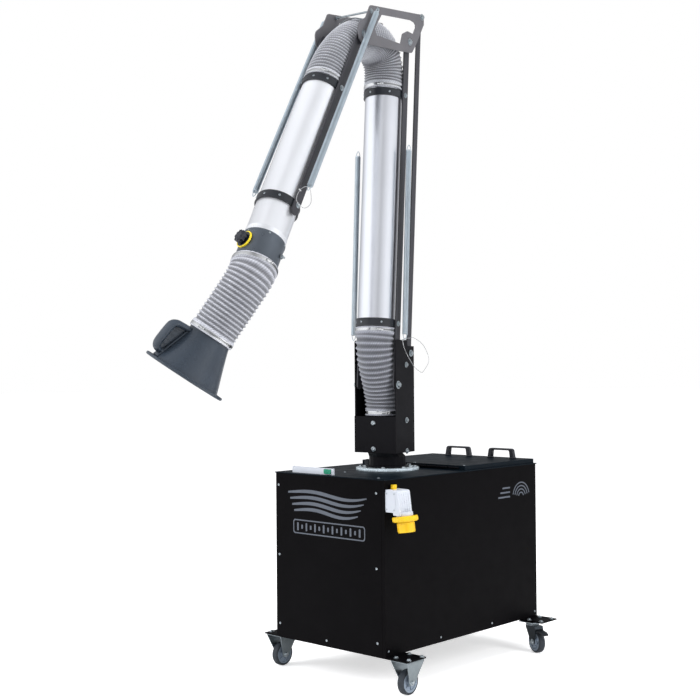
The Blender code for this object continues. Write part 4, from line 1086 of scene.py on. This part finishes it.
damper_body = Shape(revolve([(0.0795, -1.178), (0.0825, -1.178), (0.0825, -1.06), (0.0838, -1.056),
                             (0.0838, -1.046), (0.0825, -1.0423), (0.0795, -1.0423)], 160))
for sign in (-1, 1):
    strap_x = sorted((sign * 0.05, sign * 0.0545))
    web_x = sorted((sign * 0.05, sign * 0.08))
    damper_body.take(block((strap_x[0], -0.01, -1.215), (strap_x[1], 0.01, -1.172)))
    damper_body.take(block((web_x[0], -0.01, -1.177), (web_x[1], 0.01, -1.172)))
piece("damper_body", damper_body, DAMPER, "upper_arm", UPPER, replaces=("damper_housing",), bevel=0.0006)
KNOB_Z = VALVE @ spun(90, "X")
dial_profile = rounded([(0.006, 0.0815, 0), (0.0355, 0.0815, 0.0005), (0.0355, 0.088, 0.001),
                        (0.03, 0.0885, 0.001), (0.006, 0.0885, 0)], 2)
piece("damper_dial", revolve(dial_profile, 96), DIAL, "upper_arm", KNOB_Z)
piece("damper_dial_face", revolve([(0.005, 0.087), (0.0315, 0.087), (0.0315, 0.0892), (0.005, 0.0892)], 96),
      KNOB_PLASTIC, "upper_arm", KNOB_Z, bevel=0.0003)


def lobed(angle):
    return 1.0 + 0.1 * cos(8 * angle)


knob_profile = rounded([(0, 0.0898, 0), (0.019, 0.0898, 0.002), (0.0235, 0.096, 0.002),
                        (0.0235, 0.113, 0.004), (0.015, 0.118, 0.003), (0.012, 0.117, 0.001),
                        (0, 0.117, 0)], 4)
knob = Shape(revolve(knob_profile, 144, lobes=lobed))
knob.take(block((-0.0012, 0.009, 0.117), (0.0012, 0.0205, 0.1186)))
piece("damper_knob", knob, KNOB_PLASTIC, "damper_valve", KNOB_Z, bevel=0.0004)
flap = Shape(revolve(rounded([(0, -0.001, 0), (0.0716, -0.001, 0.0005), (0.0716, 0.001, 0.0005),
                              (0, 0.001, 0)], 2), 96), spun(90, "Y"))
flap.take(tube([(0, 0.094, 0), (0, -0.112, 0)], 0.0045, 16))
for y in (-0.045, 0.0, 0.045):
    flap.take(button_head(0.0042), standing(Vector((0.0042, y, 0)), (1, 0, 0)))
piece("damper_flap", flap, GALVANISED, "damper_valve", VALVE, replaces=("damper_valve",))
fasteners("damper_tube_rivets", button_head(0.0042), radial(0.0836, (-100, -40, 20, 80, 140, 200), -1.051),
          "upper_arm", UPPER)
wing = Shape(hex_bolt(0.0065), standing(Vector((0.0828, 0.031, -1.103)), (1, 0.35, 0)))
wing.take(block((0.087, 0.024, -1.106), (0.093, 0.04, -1.1)))
piece("damper_wing_nut", wing, ZINC, "upper_arm", UPPER, bevel=0.0006)

ring = Shape(soft_ring(0.038, 0.046, -0.008, 0.008, 0.0015, 96))
for way in ((1, 0), (-1, 0), (0, 1), (0, -1)):
    ring.take(tube([(way[0] * 0.042, way[1] * 0.042, 0), (way[0] * 0.0496, way[1] * 0.0496, 0)], 0.005, 16))
piece("hood_joint_band", ring, ZINC, "hood_ring", NOD, replaces=("hood_joint_ring",))


# ---------------------------------------------------------------- hood

def flare(start, end, steps):
    """Cone wall from one radius to another, a little bell-shaped."""
    return [(start + (end - start) * (k / 16) ** 1.05, -0.279 - 0.157 * k / 16) for k in steps]


hood_profile = [(0.0797, -0.245), (0.0825, -0.245), (0.0825, -0.272), (0.084, -0.279)]
hood_profile += flare(0.084, 0.139, range(1, 17))
hood_profile += [(0.142, -0.4345), (0.16, -0.435), (0.1628, -0.437), (0.1628, -0.444), (0.16, -0.446),
                 (0.14, -0.446), (0.1362, -0.44)]
hood_profile += flare(0.0812, 0.1362, range(16, -1, -1))
hood_shape = Shape(revolve(hood_profile, 192))
for sign in (-1, 1):
    strap_y = sorted((sign * 0.05, sign * 0.0545))
    web_y = sorted((sign * 0.05, sign * 0.081))
    hood_shape.take(block((-0.01, strap_y[0], -0.26), (0.01, strap_y[1], 0.01)))
    hood_shape.take(block((-0.01, web_y[0], -0.26), (0.01, web_y[1], -0.255)))
piece("hood_shell", hood_shape, HOOD_COAT, "hood", HOOD, replaces=("hood_cone",),
      smooth=30)

HANDLE_PLACE = HOOD @ spun(-112)
grip_path = smooth_path([(0.084, 0, -0.2895), (0.11, 0, -0.2915), (0.136, 0, -0.295), (0.15, 0, -0.306),
                         (0.1545, 0, -0.325), (0.158, 0, -0.36), (0.159, 0, -0.388), (0.153, 0, -0.403),
                         (0.14, 0, -0.409), (0.127, 0, -0.409)], 8)
shares = [index / (len(grip_path) - 1) for index in range(len(grip_path))]
sizes = [0.0105 + 0.003 * sin(pi * min(1.0, share * 1.1)) ** 0.5 for share in shares]
grip = Shape(tube(grip_path, sizes, 20), Matrix.Diagonal((1, 2.2, 1, 1)))
grip.take(block((0.0815, -0.017, -0.304), (0.0945, 0.017, -0.279)))
grip.take(block((0.1215, -0.015, -0.419), (0.135, 0.015, -0.397)))
boss = [(0.0838, -0.019, -0.2815), (0.0838, 0.019, -0.2815), (0.1375, 0.024, -0.434),
        (0.1375, -0.024, -0.434), (0.089, -0.016, -0.285), (0.089, 0.016, -0.285),
        (0.1415, 0.021, -0.431), (0.1415, -0.021, -0.431)]
grip.take((boss, [[0, 1, 2, 3], [7, 6, 5, 4], [0, 4, 5, 1], [1, 5, 6, 2], [2, 6, 7, 3], [3, 7, 4, 0]]))
grip.take(prism([(point.x, point.z) for point in grip_path], -0.004, 0.004, "Y"))
for step in range(4):
    z = -0.318 - 0.021 * step
    grip.take(block((0.1 + 0.0075 * step, -0.0062, z - 0.0022), (0.1545, 0.0062, z + 0.0022)))
piece("hood_handle", grip, HOOD_COAT, "hood", HANDLE_PLACE, bevel=0.0012, segments=3)
fasteners("hood_handle_screws", button_head(0.0042),
          [((0.0925, y, -0.2845), (1, 0, 0.1)) for y in (-0.009, 0.009)], "hood", HANDLE_PLACE)


# ---------------------------------------------------------------- filter

filter_low, filter_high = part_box("filter_cartridge")
span_x = (filter_low.x + 0.012, filter_high.x - 0.012)
span_y = (filter_low.y + 0.012, filter_high.y - 0.012)
PLEATS = 62
outline = []
for step in range(PLEATS + 1):
    x = span_x[0] + (span_x[1] - span_x[0]) * step / PLEATS
    outline.append((x, filter_high.z - (0.003 if step % 2 else 0.03)))
outline += [(span_x[1], filter_low.z + 0.02), (span_x[0], filter_low.z + 0.02)]
piece("filter_pleats", prism(outline, *span_y, "Y"), PAPER, "cabinet", replaces=("filter_cartridge",))
rim = soft_box(filter_low, filter_high, 0.006)
core = soft_box((span_x[0], span_y[0]), (span_x[1], span_y[1]), 0.002, 3)
piece("filter_frame", prism(rim, filter_low.z, filter_high.z, "Z", (core,)), GALVANISED, "cabinet",
      bevel=0.0012)


# ---------------------------------------------------------------- stage, light and camera

CAMERA_SPOT = Vector((3.34663, -4.00672, 1.27543))
scene = bpy.context.scene
scene.view_settings.view_transform = "Standard"
scene.view_settings.look = "None"
world = bpy.data.worlds.new("studio")
scene.world = world
world.use_nodes = True
tree = world.node_tree
seen = feed(tree.nodes["Background"], Color=(1, 1, 1, 1))
way = add(tree, "TexCoord").outputs["Generated"]
turned = add(tree, "Mapping", Vector=way, Rotation=(0, 0, -atan2(CAMERA_SPOT.y, CAMERA_SPOT.x)))
around = add(tree, "TexGradient", Vector=turned.outputs["Vector"])
around.gradient_type = "RADIAL"
tones = add(tree, "ValToRGB", Fac=around.outputs["Fac"])
TONES = [(-180, 0.26), (-150, 0.34), (-122, 0.72), (-92, 1.08), (-52, 1.12), (-22, 0.84), (-4, 0.66),
         (9, 0.44), (22, 0.62), (60, 0.95), (102, 0.8), (132, 0.36), (180, 0.26)]
while len(tones.color_ramp.elements) < len(TONES):
    tones.color_ramp.elements.new(0.5)
for element, (angle, tone) in zip(tones.color_ramp.elements, TONES):
    element.position = (angle + 180) / 360
    element.color = (tone * 0.985, tone * 0.995, tone * 1.02, 1)
height = add(tree, "SeparateXYZ", Vector=way).outputs["Z"]
dimmer = add(tree, "MapRange", Value=height, From_Min=0.4, From_Max=0.9, To_Min=1.12, To_Max=0.66)
lit = add(tree, "Background", Color=tones.outputs["Color"], Strength=dimmer.outputs["Result"])
rays = add(tree, "LightPath").outputs["Is Camera Ray"]
mixed = add(tree, "MixShader", rays, lit.outputs["Background"], seen.outputs["Background"])
feed(tree.nodes["World Output"], Surface=mixed.outputs["Shader"])

floor_data = bpy.data.meshes.new("floor")
floor_data.from_pydata([(-60, -60, 0), (60, -60, 0), (60, 60, 0), (-60, 60, 0)], [], [(0, 1, 2, 3)])
floor = bpy.data.objects.new("floor", floor_data)
scene.collection.objects.link(floor)
floor_look, tree, shade = new_material("floor")
rays = add(tree, "LightPath").outputs["Is Camera Ray"]
glow = add(tree, "MapRange", Value=rays, To_Min=0.0, To_Max=0.55)
feed(shade, Base_Color=(0.93, 0.93, 0.935, 1), Roughness=0.9, Specular_IOR_Level=0.1,
     Emission_Color=(1, 1, 1, 1), Emission_Strength=glow.outputs["Result"])
floor_data.materials.append(floor_look)
floor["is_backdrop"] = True


def area(name, spot, target, size, power):
    data = bpy.data.lights.new(name, "AREA")
    data.shape = "RECTANGLE"
    data.size, data.size_y = size
    data.energy = power
    made = bpy.data.objects.new(name, data)
    scene.collection.objects.link(made)
    made.location = spot
    made.rotation_mode = "QUATERNION"
    made.rotation_quaternion = (Vector(target) - Vector(spot)).to_track_quat("-Z", "Y")
    made.visible_glossy = False


area("key", (-2.6, -4.6, 4.2), (0, 0, 1.4), (3.2, 3.2), 220)
area("fill_right", (4.6, 0.6, 2.6), (0, 0, 1.4), (1.6, 3.4), 130)
area("overhead", (0.4, 0.2, 5.2), (0, 0, 1.0), (3.0, 3.0), 120)

camera_data = bpy.data.cameras.new("camera")
camera = bpy.data.objects.new("camera", camera_data)
scene.collection.objects.link(camera)
scene.camera = camera
camera_data.lens = 59.988
camera_data.sensor_width = 36.0
camera_data.clip_end = 200.0
yaw, pitch, roll = radians(42.77208), radians(1.02175), radians(-0.44183)
ahead = Vector((-sin(yaw) * cos(pitch), cos(yaw) * cos(pitch), sin(pitch)))
right = ahead.cross(UP).normalized()
above = right.cross(ahead)
tilted_right = right * cos(roll) + above * sin(roll)
tilted_up = above * cos(roll) - right * sin(roll)
spot = CABINET.translation + CAMERA_SPOT
camera.matrix_world = frame_at(spot, tilted_right, tilted_up, -ahead)

low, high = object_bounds()
